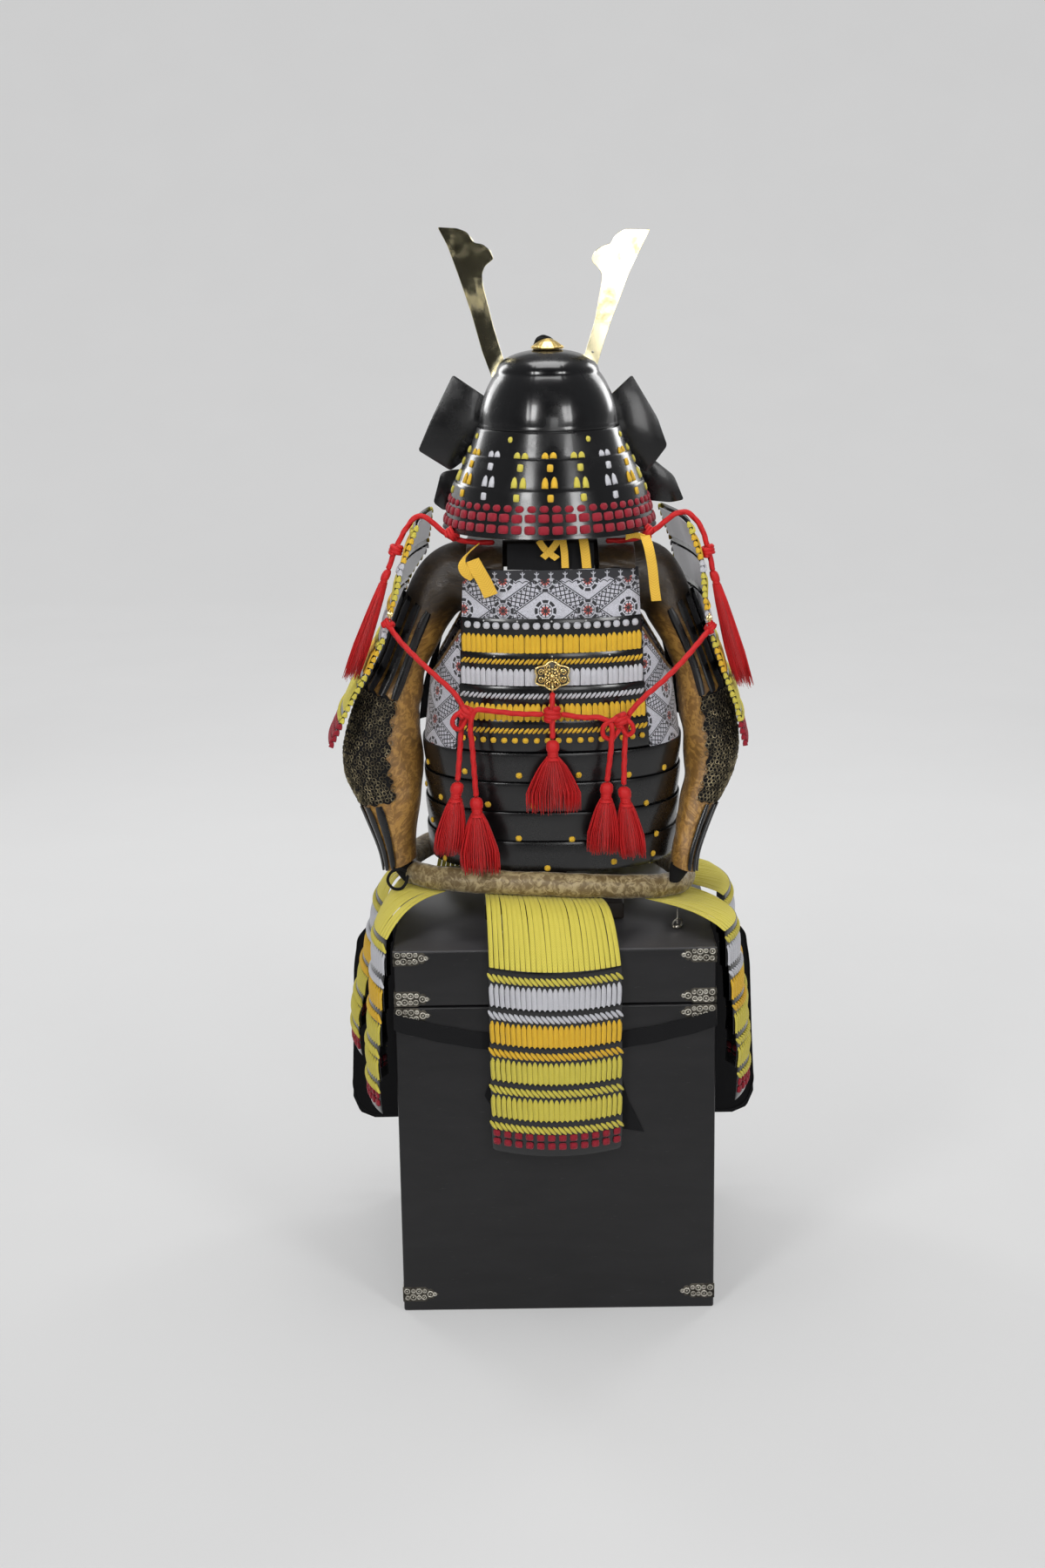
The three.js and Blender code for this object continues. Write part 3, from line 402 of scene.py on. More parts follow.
looks = {
    "lacquer": paintLacquer("black lacquer", (0.003, 0.003, 0.0035), 0.2, 0.25, dust=0.12),
    "helmetLacquer": paintLacquer("helmet lacquer", (0.0025, 0.0025, 0.003), 0.2, 0.3, dust=0.08),
    "satinLacquer": paintLacquer("satin lacquer", (0.003, 0.003, 0.0034), 0.25, 0.2, dust=0.25),
    "greyLame": paintLacquer("lame backs", (0.5, 0.5, 0.53), 0.45, 0.1, dust=0.25),
    "chest": paintWood("chest lacquer", (0.0125, 0.012, 0.013), (0.006, 0.0058, 0.0064), 0.36,
                       (0.25, 1, 1), 0.12),
    "stand": paintWood("stand wood", (0.03, 0.021, 0.015), (0.012, 0.008, 0.006), 0.45,
                       (1, 1, 0.12), 0.05),
    "brass": paintMetal("horn brass", (0.88, 0.8, 0.52), (0.62, 0.5, 0.22), 0.06, 0.12, 18,
                        relief=0.03),
    "gilt": paintMetal("gilt", (1.0, 0.8, 0.36), (0.5, 0.32, 0.09), 0.2, 0.22, 90),
    "antique": paintMetal("antique brass", (0.68, 0.65, 0.58), (0.24, 0.22, 0.18), 0.24, 0.3, 60),
    "darkAntique": paintMetal("antique ground", (0.13, 0.12, 0.1), (0.03, 0.028, 0.024), 0.36,
                              0.4, 60),
    "steel": paintMetal("rivet silver", (0.62, 0.62, 0.62), (0.3, 0.3, 0.3), 0.3, 0.3, 120),
    # mail: dark iron with gold spots where the noise leaves it bare; the gold spots are painted
    # glints
    "mail": paintMetal("mail iron painted glints", (0.5, 0.42, 0.26), (0.03, 0.028, 0.026), 0.34, 0.62, 70),
    "lemon": paintBraid("lemon braid", (0.76, 0.67, 0.11), (0.48, 0.4, 0.045)),
    "amber": paintBraid("amber braid", (0.88, 0.56, 0.04), (0.6, 0.34, 0.018)),
    "white": paintBraid("white braid", (0.72, 0.72, 0.75), (0.42, 0.42, 0.46)),
    "crimson": paintBraid("crimson braid", (0.42, 0.01, 0.03), (0.17, 0.004, 0.012)),
    "leather": paintBraid("yellow leather", (0.8, 0.52, 0.06), (0.6, 0.33, 0.03), rib=0.004),
    "red": paintSilk("red silk", (0.74, 0.008, 0.01), (0.27, 0.002, 0.003)),
    "yoke": paintBrocade("yoke brocade", topEdge=1.186),
    "pale": paintBrocade("pale brocade"),
    "satin": paintSatin("brown gold satin", (0.43, 0.23, 0.052), (0.22, 0.108, 0.022),
                        (0.05, 0.026, 0.008), paintedShadeFrom=1.07),
    "rollSatin": paintSatin("roll satin", (0.42, 0.33, 0.17), (0.17, 0.115, 0.045),
                            (0.1, 0.065, 0.03)),
    "darkSatin": paintSatin("dark brown satin", (0.2, 0.115, 0.035), (0.075, 0.038, 0.013),
                            (0.02, 0.011, 0.005)),
    "cloth": paintCloth("black cloth", (0.0035, 0.0035, 0.004)),
    # lid edge: a lighter grey than the chest, a painted highlight along the lid's top edge
    "lip": paintWood("lid edge painted highlight", (0.07, 0.068, 0.072), (0.04, 0.039, 0.042), 0.34, (0.25, 1, 1),
                     0.2),
    "floor": paintFloor("pale floor", (0.35, 0.35, 0.35)),
}
print("materials mixed")


# Finishing steps that every piece goes through
def finish(piece, look, body="root", replaces=(), angle=40):
    bpy.ops.object.select_all(action="DESELECT")
    piece.select_set(True)
    bpy.context.view_layer.objects.active = piece
    bpy.ops.object.transform_apply(location=True, rotation=True, scale=True)
    if angle:
        bpy.ops.object.shade_smooth_by_angle(angle=math.radians(angle))
    piece.select_set(False)
    piece.data.materials.clear()
    piece.data.materials.append(looks[look])
    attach(piece, body)
    if replaces:
        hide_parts(*replaces)
    return piece


def applyModifier(piece, kind, **settings):
    bpy.context.view_layer.objects.active = piece
    modifier = piece.modifiers.new(kind.lower(), kind)
    for key, value in settings.items():
        setattr(modifier, key, value)
    bpy.ops.object.modifier_apply(modifier=modifier.name)


def softenEdges(piece, width, segments=2, angle=60):  # rounds the edges sharper than the angle
    applyModifier(piece, "BEVEL", width=width, segments=segments, limit_method="ANGLE",
                  angle_limit=math.radians(angle))


def thicken(piece, thickness):  # thickness in mm, inwards
    applyModifier(piece, "SOLIDIFY", thickness=thickness * mm, offset=-1.0)


def editMode(piece):
    bpy.context.view_layer.objects.active = piece
    bpy.ops.object.mode_set(mode="EDIT")
    bpy.ops.mesh.select_all(action="SELECT")


def objectMode():
    bpy.ops.object.mode_set(mode="OBJECT")


def faceOutwards(piece):
    editMode(piece)
    bpy.ops.mesh.normals_make_consistent(inside=False)
    objectMode()


def bakePlace():  # writes the active piece's place, turn and size into its mesh
    bpy.ops.object.transform_apply(location=True, rotation=True, scale=True)
    return bpy.context.object


def addBlock(centre, size):
    bpy.ops.object.select_all(action="DESELECT")
    bpy.ops.mesh.primitive_cube_add(size=1, location=centre, scale=size)
    return bakePlace()


def meshPiece(name, verts, faces, uvs, smooth=True):
    mesh = bpy.data.meshes.new(name)
    mesh.from_pydata([tuple(v) for v in verts], [], faces)
    mesh.uv_layers.new(name="UVMap").data.foreach_set("uv", [n for uv in uvs for n in uv])
    if smooth:
        mesh.polygons.foreach_set("use_smooth", [True] * len(mesh.polygons))
    piece = bpy.data.objects.new(name, mesh)
    bpy.context.scene.collection.objects.link(piece)
    return piece


# A grid laid on a surface place(s, t), s and t from -1 to 1, with its UV map in metres
def addGrid(name, across, down, place, thickness=0.0, closed=False, flip=False):
    bpy.ops.mesh.primitive_grid_add(x_subdivisions=across, y_subdivisions=down, size=2)
    piece = bpy.context.object
    piece.name = name
    mesh = piece.data
    flat = [tuple(vertex.co) for vertex in mesh.vertices]
    placed = [Vector(place(x, y)) * mm for x, y, _ in flat]
    columns = {round(x, 5): i for i, x in enumerate(sorted({round(p[0], 5) for p in flat}))}
    rows = {round(y, 5): i for i, y in enumerate(sorted({round(p[1], 5) for p in flat}))}
    table = {}
    for i, (x, y, _) in enumerate(flat):
        table[columns[round(x, 5)], rows[round(y, 5)]] = i
    wide, high = len(columns), len(rows)
    uv = {}
    for r in range(high):
        run = 0.0
        line = [0.0]
        for c in range(1, wide):
            run += (placed[table[c, r]] - placed[table[c - 1, r]]).length
            line.append(run)
        for c in range(wide):
            uv[table[c, r]] = [line[c] - run / 2, 0.0]
    for c in range(wide):
        climb = 0.0
        for r in range(high):
            if r:
                climb += (placed[table[c, r]] - placed[table[c, r - 1]]).length
            uv[table[c, r]][1] = climb
    for vertex, co in zip(mesh.vertices, placed):
        vertex.co = co
    for loop in mesh.loops:
        mesh.uv_layers[0].data[loop.index].uv = uv[loop.vertex_index]
    if flip:
        mesh.flip_normals()
    if closed:
        editMode(piece)
        bpy.ops.mesh.remove_doubles(threshold=0.00002)
        objectMode()
    if thickness:
        thicken(piece, thickness)
    return piece


def heightUv(piece):  # sets the UV's second number to the height, for patterns that keep level
    mesh = piece.data
    for loop in mesh.loops:
        mesh.uv_layers[0].data[loop.index].uv[1] = mesh.vertices[loop.vertex_index].co.z


# One joined mesh from copies of a small shape, each put in place by a frame or a function
def copyOnto(name, template, places, look, body="root", replaces=()):
    verts, faces, uvs = [], [], []
    for place in places:
        start = len(verts)
        if callable(place):
            verts.extend(place(co) for co in template["verts"])
        else:
            origin, x, y, z = place
            verts.extend(origin + x * a + y * b + z * c for a, b, c in template["verts"])
        faces.extend([start + i for i in face] for face in template["faces"])
        uvs.extend(template["uvs"])
    piece = meshPiece(name, verts, faces, uvs)
    return finish(piece, look, body, replaces, angle=0)


# Takes a finished small piece as a template and removes it from the scene; UV in metres
def asTemplate(piece):
    mesh = piece.data
    verts = [tuple(v.co) for v in mesh.vertices]
    faces = [tuple(p.vertices) for p in mesh.polygons]
    uvs = [(verts[i][0], verts[i][1]) for face in faces for i in face]
    bpy.data.objects.remove(piece)
    return {"verts": verts, "faces": faces, "uvs": uvs}


# Small shapes: a plain mesh, each point moved by a rule
def shapedTemplate(piece, rule):
    for vertex in piece.data.vertices:
        vertex.co = rule(*vertex.co)
    return asTemplate(piece)


def addBall(segments):
    bpy.ops.mesh.primitive_uv_sphere_add(segments=segments, ring_count=6, radius=0.5)
    return bpy.context.object


def makeKnot():  # a round, slightly domed knot, 1 wide, its back flat
    def rule(x, y, z):
        bulge = 1.06 if abs(abs(x) - abs(y)) < 0.12 else 1.0
        return (x * bulge, y * bulge, max(z, -0.16))

    return shapedTemplate(addBall(10), rule)


def makeSquareKnot():  # a squared cross knot with four soft corners
    def rule(x, y, z):
        r = max(abs(x), abs(y))
        shrink = 1 - 0.16 * (abs(x) * abs(y) * 4)
        top = z if z < 0 else z * (1.0 - 0.45 * (r / 0.5) ** 2)
        return (x * shrink, y * shrink, top * 0.9)

    bpy.ops.mesh.primitive_cube_add(size=1)
    piece = bpy.context.object
    editMode(piece)
    bpy.ops.mesh.subdivide(number_cuts=2, smoothness=0.0)
    objectMode()
    return shapedTemplate(piece, rule)


def makeStitch():  # one slanted stitch of a twisted row, 1 long and 1 thick
    piece = addBall(8)
    bpy.ops.transform.rotate(value=math.pi / 2, orient_axis="Y", center_override=(0, 0, 0))
    bakePlace()
    return shapedTemplate(piece, lambda x, y, z: (
        x, y * (1.0 + 0.2 * (0.5 - abs(x))), max(z, -0.2)))


def makeRivet():
    return shapedTemplate(addBall(8), lambda x, y, z: (x, y, max(z, -0.1)))


def makeDome():  # a knot with a flat foot and a round top, 1 wide and 1 high
    def rule(x, y, z):
        y = max(y, -0.12)
        return (x * (1.08 if y < 0.05 else 1.0), (y + 0.12) / 0.62 - 0.5, max(z, -0.2))

    return shapedTemplate(addBall(10), rule)


def makeRing():  # one mail ring, 1 across
    bpy.ops.mesh.primitive_torus_add(major_segments=8, minor_segments=3, major_radius=0.5,
                                     minor_radius=0.11)
    return asTemplate(bpy.context.object)


strandRows = 5


def makeStrand():
    # one flat braid: x from -0.5 to 0.5 across, y from 0 at its foot to 1 at its rounded top
    def rule(x, y, z):
        y += 0.5
        crown = 1 - (abs(x) * 2) ** 2.4
        edge = 1 - 0.55 * max(0.0, (y - 0.8) / 0.2) ** 2
        return (x * edge, y, crown)

    bpy.ops.mesh.primitive_grid_add(x_subdivisions=4, y_subdivisions=strandRows, size=1)
    return shapedTemplate(bpy.context.object, rule)


shapes = {"knot": makeKnot(), "square": makeSquareKnot(), "stitch": makeStitch(),
          "rivet": makeRivet(), "ring": makeRing(), "strand": makeStrand(),
          "dome": makeDome()}
print("small shapes modelled")


# A surface's own frame at (s, v): the point, its run across and up, and outwards, all in metres
def frameAt(surface, s, v, outwards, out=0.0, ds=0.01, dv=1.0):
    point = Vector(surface(s, v))
    across = (Vector(surface(s + ds, v)) - Vector(surface(s - ds, v))).normalized()
    up = (Vector(surface(s, v + dv)) - Vector(surface(s, v - dv))).normalized()
    normal = across.cross(up).normalized()
    if normal.dot(Vector(outwards(point))) < 0:
        normal = -normal
        across = -across
    return (point + normal * out) * mm, across, up, normal


# Small shapes set on a surface: rows of (s, v), with sizes in mm
def setOn(surface, spots, outwards, out, size, turn=0.0):
    wide, high, deep = (n * mm for n in size)
    places = []
    for s, v in spots:
        origin, across, up, normal = frameAt(surface, s, v, outwards, out)
        spin = Matrix.Rotation(turn, 3, normal)
        places.append((origin, (spin @ across) * wide, (spin @ up) * high, normal * deep))
    return places


# Flat braids side by side: feet at v low and rounded tops at v high
def braids(surface, columns, low, high, outwards, outLow, outHigh, width, crown=1.1, jitter=0.0,
           seed=1):
    dice = random.Random(seed)
    places = []
    for s in columns:
        shift = dice.uniform(-jitter, jitter)
        levels = []
        for i in range(strandRows + 1):
            t = i / strandRows
            sink = 1.0 * max(0.0, (t - 0.82) / 0.18) ** 2 * 2.2
            v = lerp(low, high + shift, t)
            stand = lerp(outLow, outHigh, min(t * 1.6, 1)) - sink + 0.5 * math.sin(math.pi * t)
            levels.append(frameAt(surface, s, v, outwards, stand))

        def place(co, levels=levels):
            x, y, z = co
            origin, across, _, normal = levels[min(round(y * strandRows), strandRows)]
            return origin + across * (x * width * mm) + normal * (z * crown * mm)

        places.append(place)
    return places


# Cords and tassels
cordValues = {"radius": 0.0045, "ply": 0.021, "plies": 3, "step": 0.0022}
cordRoutes = {
    "cord_left": [(-251, -109.4, 1105), (-232, -130, 1082), (-205, -146, 1056), (-176, -156, 1030),
                  (-150, -163, 1006), (-137, -167, 985), (-139, -168, 950), (-146, -176, 869)],
    "cord_right": [(249, -109.9, 1092), (228, -130, 1072), (204, -146, 1048), (174, -156, 1020),
                   (140, -163, 992), (118, -167, 966), (113, -168, 930), (110, -178, 859)],
    "knot_cord_left": [(-12, -172, 972), (-50, -176, 974), (-90, -178, 979), (-116, -180, 981),
                       (-124, -181, 962), (-122, -181, 920), (-118, -181, 845)],
    "knot_cord_right": [(14.1, -172, 972), (46, -176, 967), (76, -178, 966), (91, -180, 956),
                        (91, -181, 925), (84, -181, 866)],
    "guard_cord_left": [(-84, -70, 1223.1), (-112, -70, 1223.3), (-138, -73, 1228),
                        (-153, -76, 1234), (-172, -80, 1250), (-188, -83, 1264), (-202, -85, 1267),
                        (-220, -87, 1248), (-238, -89, 1214), (-249, -90, 1185.4)],
    "guard_cord_right": [(88, -70, 1223.1), (116, -70, 1223.3), (140, -73, 1228),
                         (155, -76, 1234), (176, -80, 1250), (194, -83, 1264),
                         (212, -85, 1267.2), (232, -87, 1248), (246, -89, 1208),
                         (253, -90, 1176)],
}


def throughPoints(points, step):
    # centripetal curve through the points, as the solids follow, in even steps
    knots = [Vector(p) for p in points]
    padded = [knots[0] * 2 - knots[1]] + knots + [knots[-1] * 2 - knots[-2]]
    fine = []
    for i in range(1, len(padded) - 2):
        p0, p1, p2, p3 = padded[i - 1:i + 3]
        t0, t1 = 0.0, (p1 - p0).length ** 0.5
        t2 = t1 + (p2 - p1).length ** 0.5
        t3 = t2 + (p3 - p2).length ** 0.5
        for k in range(16):
            t = lerp(t1, t2, k / 16)
            a1 = p0 * ((t1 - t) / (t1 - t0)) + p1 * ((t - t0) / (t1 - t0))
            a2 = p1 * ((t2 - t) / (t2 - t1)) + p2 * ((t - t1) / (t2 - t1))
            a3 = p2 * ((t3 - t) / (t3 - t2)) + p3 * ((t - t2) / (t3 - t2))
            b1 = a1 * ((t2 - t) / (t2 - t0)) + a2 * ((t - t0) / (t2 - t0))
            b2 = a2 * ((t3 - t) / (t3 - t1)) + a3 * ((t - t1) / (t3 - t1))
            fine.append(b1 * ((t2 - t) / (t2 - t1)) + b2 * ((t - t1) / (t2 - t1)))
    fine.append(knots[-1])
    length = sum((b - a).length for a, b in zip(fine, fine[1:]))
    count = max(int(length / step), 4)
    even, walked, i = [fine[0]], 0.0, 0
    for k in range(1, count):
        target = length * k / count
        while walked + (fine[i + 1] - fine[i]).length < target:
            walked += (fine[i + 1] - fine[i]).length
            i += 1
        t = (target - walked) / (fine[i + 1] - fine[i]).length
        even.append(fine[i].lerp(fine[i + 1], t))
    return even + [fine[-1]], length


def sweepTube(name, path, sides, step, radiusAt):
    # a tube along an even path; radiusAt gives its radius from the place, the way walked and a turn
    normal = Vector((0, 0, 1)).cross(path[1] - path[0])
    normal = (normal if normal.length > 1e-6 else Vector((1, 0, 0))).normalized()
    verts, faces, uvs, walked = [], [], [], 0.0
    for i, point in enumerate(path):
        ahead = (path[min(i + 1, len(path) - 1)] - path[max(i - 1, 0)]).normalized()
        normal = (normal - ahead * normal.dot(ahead)).normalized()
        side = ahead.cross(normal)
        walked += (point - path[i - 1]).length if i else 0.0
        atEnd = i in (0, len(path) - 1)
        for k in range(sides):
            a = 2 * math.pi * k / sides
            r = radiusAt(atEnd, walked, a)
            verts.append(point + normal * (r * math.cos(a)) + side * (r * math.sin(a)))
    for i in range(len(path) - 1):
        for k in range(sides):
            j = (k + 1) % sides
            faces.append((i * sides + k, i * sides + j, (i + 1) * sides + j, (i + 1) * sides + k))
            uvs.extend((a * 0.001, (i + b) * step) for a, b in ((k, 0), (k + 1, 0), (k + 1, 1),
                                                                (k, 1)))
    last = (len(path) - 1) * sides
    faces += [tuple(range(sides))[::-1], tuple(last + k for k in range(sides))]
    uvs += [(0.0, 0.0)] * (2 * sides)
    return meshPiece(name, verts, faces, uvs)


def twistedTube(name, route, radius, sides=15):
    ply = cordValues["ply"] * radius / cordValues["radius"]
    step = cordValues["step"] * max(radius / cordValues["radius"], 0.5)
    path, length = throughPoints([Vector(p) * mm for p in route], step)

    def radiusAt(atEnd, walked, a):
        phase = walked / ply * 2 * math.pi
        lobe = abs(math.cos((a * cordValues["plies"] - phase) / 2))
        return radius * (0.72 + 0.28 * lobe ** 0.6) * (0.35 if atEnd else 1.0)

    return sweepTube(name, path, sides, step, radiusAt), path, length


def plainTube(name, points, radius, sides=8, step=1.6):
    path, _ = throughPoints([Vector(p) * mm for p in points], step * mm)
    return sweepTube(name, path, sides, step * mm,
                     lambda atEnd, walked, a: radius * mm * (0.55 if atEnd else 1.0))


tassels = {
    "left_1": {"top": (-146, -176, 867.8), "foot": (-163, -178, 752), "wide": 22, "deep": 15},
    "left_2": {"top": (-118, -181, 844.5), "foot": (-113, -183, 722), "wide": 29, "deep": 15},
    "right_1": {"top": (84, -181, 865.5), "foot": (77, -183, 752), "wide": 24, "deep": 15},
    "right_2": {"top": (110, -178, 857.4), "foot": (124, -180, 744), "wide": 20, "deep": 14},
    "centre": {"top": (1, -178, 932.5), "foot": (2, -182, 818), "wide": 41, "deep": 15},
    "guard_left": {"top": (-249.2, -90, 1186.6), "foot": (-312, -94, 1018), "wide": 12,
                   "deep": 24, "plump": 0.7},
    "guard_right": {"top": (252.8, -90, 1177.8), "foot": (303, -94, 998), "wide": 13,
                    "deep": 25, "plump": 0.7},
}
tasselValues = {"head": 30, "strands": 150, "thin": 0.55, "thick": 0.95, "levels": 7}


def addTassel(name, top, foot, wide, deep, seed, plump=1.0):
    dice = random.Random(seed)
    top, foot = Vector(top), Vector(foot)
    lean = foot - top
    neck = top + lean.normalized() * tasselValues["head"]
    verts, faces, uvs = [], [], []

    def ringOf(centre, radius, count, lobes, depth, twist):
        start = len(verts)
        for k in range(count):
            a = 2 * math.pi * k / count
            r = radius * (1 + depth * math.cos(lobes * a + twist))
            verts.append((centre + Vector((r * math.sin(a), -r * math.cos(a), 0))) * mm)
        return start

    def skin(starts, count):
        for n, (a, b) in enumerate(zip(starts, starts[1:])):
            for k in range(count):
                j = (k + 1) % count
                faces.append((b + k, b + j, a + j, a + k))
                uvs.extend([(k * 0.0008, n * 0.004), ((k + 1) * 0.0008, n * 0.004),
                            ((k + 1) * 0.0008, (n + 1) * 0.004), (k * 0.0008, (n + 1) * 0.004)])

    head = [(0.0, 2.5), (0.03, 5.5), (0.12, 8.6), (0.26, 10.0), (0.42, 10.2), (0.56, 9.4),
            (0.62, 7.6), (0.66, 8.6), (0.71, 8.6), (0.745, 7.6), (0.78, 8.6), (0.83, 8.6),
            (0.87, 7.8), (0.94, 9.6), (1.02, 11.0)]
    starts = []
    for t, r in head:
        lobes = 16 if t < 0.6 or t > 0.9 else 0
        starts.append(ringOf(top.lerp(neck, t), r * plump, 32, lobes, 0.035, t * 3.0))
    skin(starts, 32)
    faces.append(tuple(starts[0] + k for k in range(32)))
    uvs.extend([(0.0, 0.0)] * 32)
    levels = tasselValues["levels"]
    for n in range(tasselValues["strands"]):
        a = n * 2.39996
        reach = 0.25 + 0.75 * math.sqrt((n + 0.5) / tasselValues["strands"])
        wobble = dice.uniform(-0.35, 0.35)
        length = dice.uniform(0.9, 1.02) if n % 7 else dice.uniform(0.8, 0.92)
        thick = dice.uniform(tasselValues["thin"], tasselValues["thick"]) * 1.5
        strand = []
        for i in range(levels):
            t = i / (levels - 1)
            centre = neck.lerp(foot, t * length - 0.05 * (1 - t))
            swell = min(1.0, (t * 1.5) ** 0.75)
            sway = wobble * math.sin(t * 5 + n)
            x = math.sin(a) * lerp(8.5 * plump, wide + 1.5, swell) * reach + sway
            y = -math.cos(a) * lerp(8.5 * plump, deep + 1.0, swell) * reach + sway * 0.6
            r = thick * (0.9 if i < levels - 1 else 0.35)
            start = len(verts)
            for k in range(3):
                turn = a + k * 2 * math.pi / 3
                verts.append((centre + Vector((x + r * math.sin(turn), y - r * math.cos(turn),
                                               0))) * mm)
            strand.append(start)
        skin(strand, 3)
        faces.append((strand[0], strand[0] + 1, strand[0] + 2))
        faces.append((strand[-1] + 2, strand[-1] + 1, strand[-1]))
        uvs.extend([(0.0, 0.0)] * 6)
    piece = meshPiece(f"silk_tassel_{name}", verts, faces, uvs)
    return finish(piece, "red", "root", (f"tassel_{name}",), angle=0)


def addCords():
    tasselPieces = {name: addTassel(name, seed=i + 3, **row)
                    for i, (name, row) in enumerate(tassels.items())}
    for name, route in cordRoutes.items():
        piece, path, length = twistedTube(f"red_{name}", route, cordValues["radius"])
        finish(piece, "red", "root", (name,), angle=0)
        tuple(path[0])
        [tuple(p) for p in path]


addCords()
print("cords and tassels made")


# The cuirass surface: an angle from the back's middle, and a height
torso = {"centreX": 2, "power": 2.4, "panel": 44}
torsoRows = [(700, 198, 160.5, 158), (770, 200, 153, 151), (905, 204, 150, 150),
             (1000, 192, 144, 142), (1113, 186, 134, 128), (1190, 182, 118, 108)]
heights = {"hem": 716, "waist": 905, "panelTop": 1113, "yokeTop": 1186, "frontTop": 1150}


def bend(value, power):
    return math.copysign(abs(value) ** (2 / power), value)


def torsoPoint(degrees, z, out=0.0):
    _, half, back, front = rowAt(torsoRows, z)
    a = math.radians(degrees)
    depth = back if math.cos(a) > 0 else front
    x = (half + out) * bend(math.sin(a), torso["power"])
    y = -(depth + out) * bend(math.cos(a), torso["power"])
    return (torso["centreX"] + x, y, z)


def awayFromMiddle(point):
    return (point[0] - torso["centreX"], point[1], 0)


# One black lame as a curved board: its top edge stands out, its foot is tucked under the next
lameValues = {"step": 4.5, "tuck": 0.6, "wall": 1.7, "lip": 0.9}


def lameOut(t):  # t from 0 at the foot to 1 at the top edge
    return lerp(lameValues["tuck"], lameValues["step"], min(t / 0.72, 1.0) ** 0.9)


def shiftedOut(surface, s, v, outwards, out, ds=0.01, dv=1.0):
    point = Vector(surface(s, v))
    across = Vector(surface(s + ds, v)) - Vector(surface(s - ds, v))
    up = Vector(surface(s, v + dv)) - Vector(surface(s, v - dv))
    normal = across.cross(up).normalized()
    if normal.dot(Vector(outwards(point))) < 0:
        normal = -normal
    return point + normal * out


def joinPieces(pieces, name):
    bpy.ops.object.select_all(action="DESELECT")
    for piece in pieces:
        piece.select_set(True)
    bpy.context.view_layer.objects.active = pieces[0]
    bpy.ops.object.join()
    pieces[0].name = name
    return pieces[0]


def addLames(name, surface, first, last, top, foot, count, outwards, across, look="lacquer",
             replaces=(), body="root", closed=False, flip=False, ds=0.01):
    made = []
    pitch = (top - foot) / count
    for i in range(count):
        high = top - pitch * i
        low = high - pitch + (0 if i == count - 1 else -2.0)

        def place(x, y, high=high, low=low):
            s, t = lerp(first, last, (x + 1) / 2), (y + 1) / 2
            return shiftedOut(surface, s, lerp(low, high, t), outwards,
                              lameOut(t) - (0.4 if t < 0.01 else 0), ds)

        lame = addGrid(f"{name}_{i}", across, 8, place, thickness=lameValues["wall"],
                       closed=closed, flip=flip)
        softenEdges(lame, 0.0007)
        made.append(lame)
    return finish(joinPieces(made, name), look, body, replaces)


# Lacing over a plate of lames: on each a twisted row and flat braids, and crimson knots at the foot
def addBands(name, surface, outwards, columns, width, top, pitch, knots, lacing):
    lots = {}
    wide, tall, deep = lacing["stitch"]
    for i, (twist, strands) in enumerate(lacing["bands"]):
        high = top - pitch * i
        lots.setdefault(("stitch", twist), []).extend(setOn(
            surface, [(s, high - pitch * lacing["twistDrop"]) for s in columns], outwards,
            lameValues["step"] + 0.2, (width * wide, width * tall, deep),
            math.radians(lacing["slant"])))
        if strands != "crimson":
            lots.setdefault(("strand", strands), []).extend(braids(
                surface, columns, high - pitch - 2.5, high - pitch * lacing["braidDrop"],
                outwards, 2.4, lacing["stand"], width + lacing["overlap"],
                crown=lacing["crown"], jitter=0.9, seed=i + lacing["seed"]))
            continue
        for drop in lacing["knotDrops"]:
            spots = [(s, high - pitch * drop) for s in evenColumns(knots)]
            lots.setdefault(("square", "crimson"), []).extend(setOn(
                surface, spots, outwards, lacing["knotOut"], lacing["knotSize"]))
    for (shape, look), places in lots.items():
        copyOnto(f"{name}_{look}_{shape}", shapes[shape], places, look)


# Lower cuirass: four plain black hoops with sparse amber knots
lowerKnots = [(-194, 871), (-135, 872), (-51, 870), (41, 870), (119, 865), (176, 866), (-198, 829),
              (-174, 822), (-100, 822), (147, 815), (-189, 777), (-53, 769), (30, 767), (161, 762),
              (-170, 722), (-9, 722), (157, 731), (75, 822), (-30, 822), (95, 728)]
panelValues = {"braids": 34, "strandWidth": 8.6, "knots": 18, "twist": 40}


def angleAtX(x, z, side=1):  # the cuirass angle whose point at this height has this x
    low, high = -90.0, 90.0
    for _ in range(30):
        middle = (low + high) / 2
        if torsoPoint(middle, z)[0] < x:
            low = middle
        else:
            high = middle
    return low if side > 0 else 180 - low


def lameStand(top, foot, count, z):  # how far a lame stands out of the surface at this height
    pitch = (top - foot) / count
    i = min(int((top - z) / pitch), count - 1)
    return lameOut(1 - (top - pitch * i - z) / pitch)


def addCuirass():
    addLames("cuirass_hoops", torsoPoint, -180, 180, heights["waist"], heights["hem"], 4,
             awayFromMiddle, 120, "satinLacquer", ("lower_cuirass",), closed=True, ds=0.5)
    spots = []
    for side in (1, -1):
        for x, z in lowerKnots:
            out = lameStand(heights["waist"], heights["hem"], 4, z)
            spots += setOn(torsoPoint, [(angleAtX(x if side > 0 else -x + 4, z, side), z)],
                           awayFromMiddle, out + 0.4, (10.5, 10, 5), 0.1)
    copyOnto("hoop_knots", shapes["knot"], spots, "amber")

    side = torso["panel"]
    seam = heights["waist"] + 0.3
    top = heights["panelTop"]
    for part, middle in (("back", 0), ("front", 180)):
        addLames(f"{part}_lames", torsoPoint, middle - side, middle + side, top, seam, 4,
                 awayFromMiddle, 40, "lacquer", (f"{part}_panel",), ds=0.5)
    addPanelLacing("back", 0)
    addPanelLacing("front", 180)


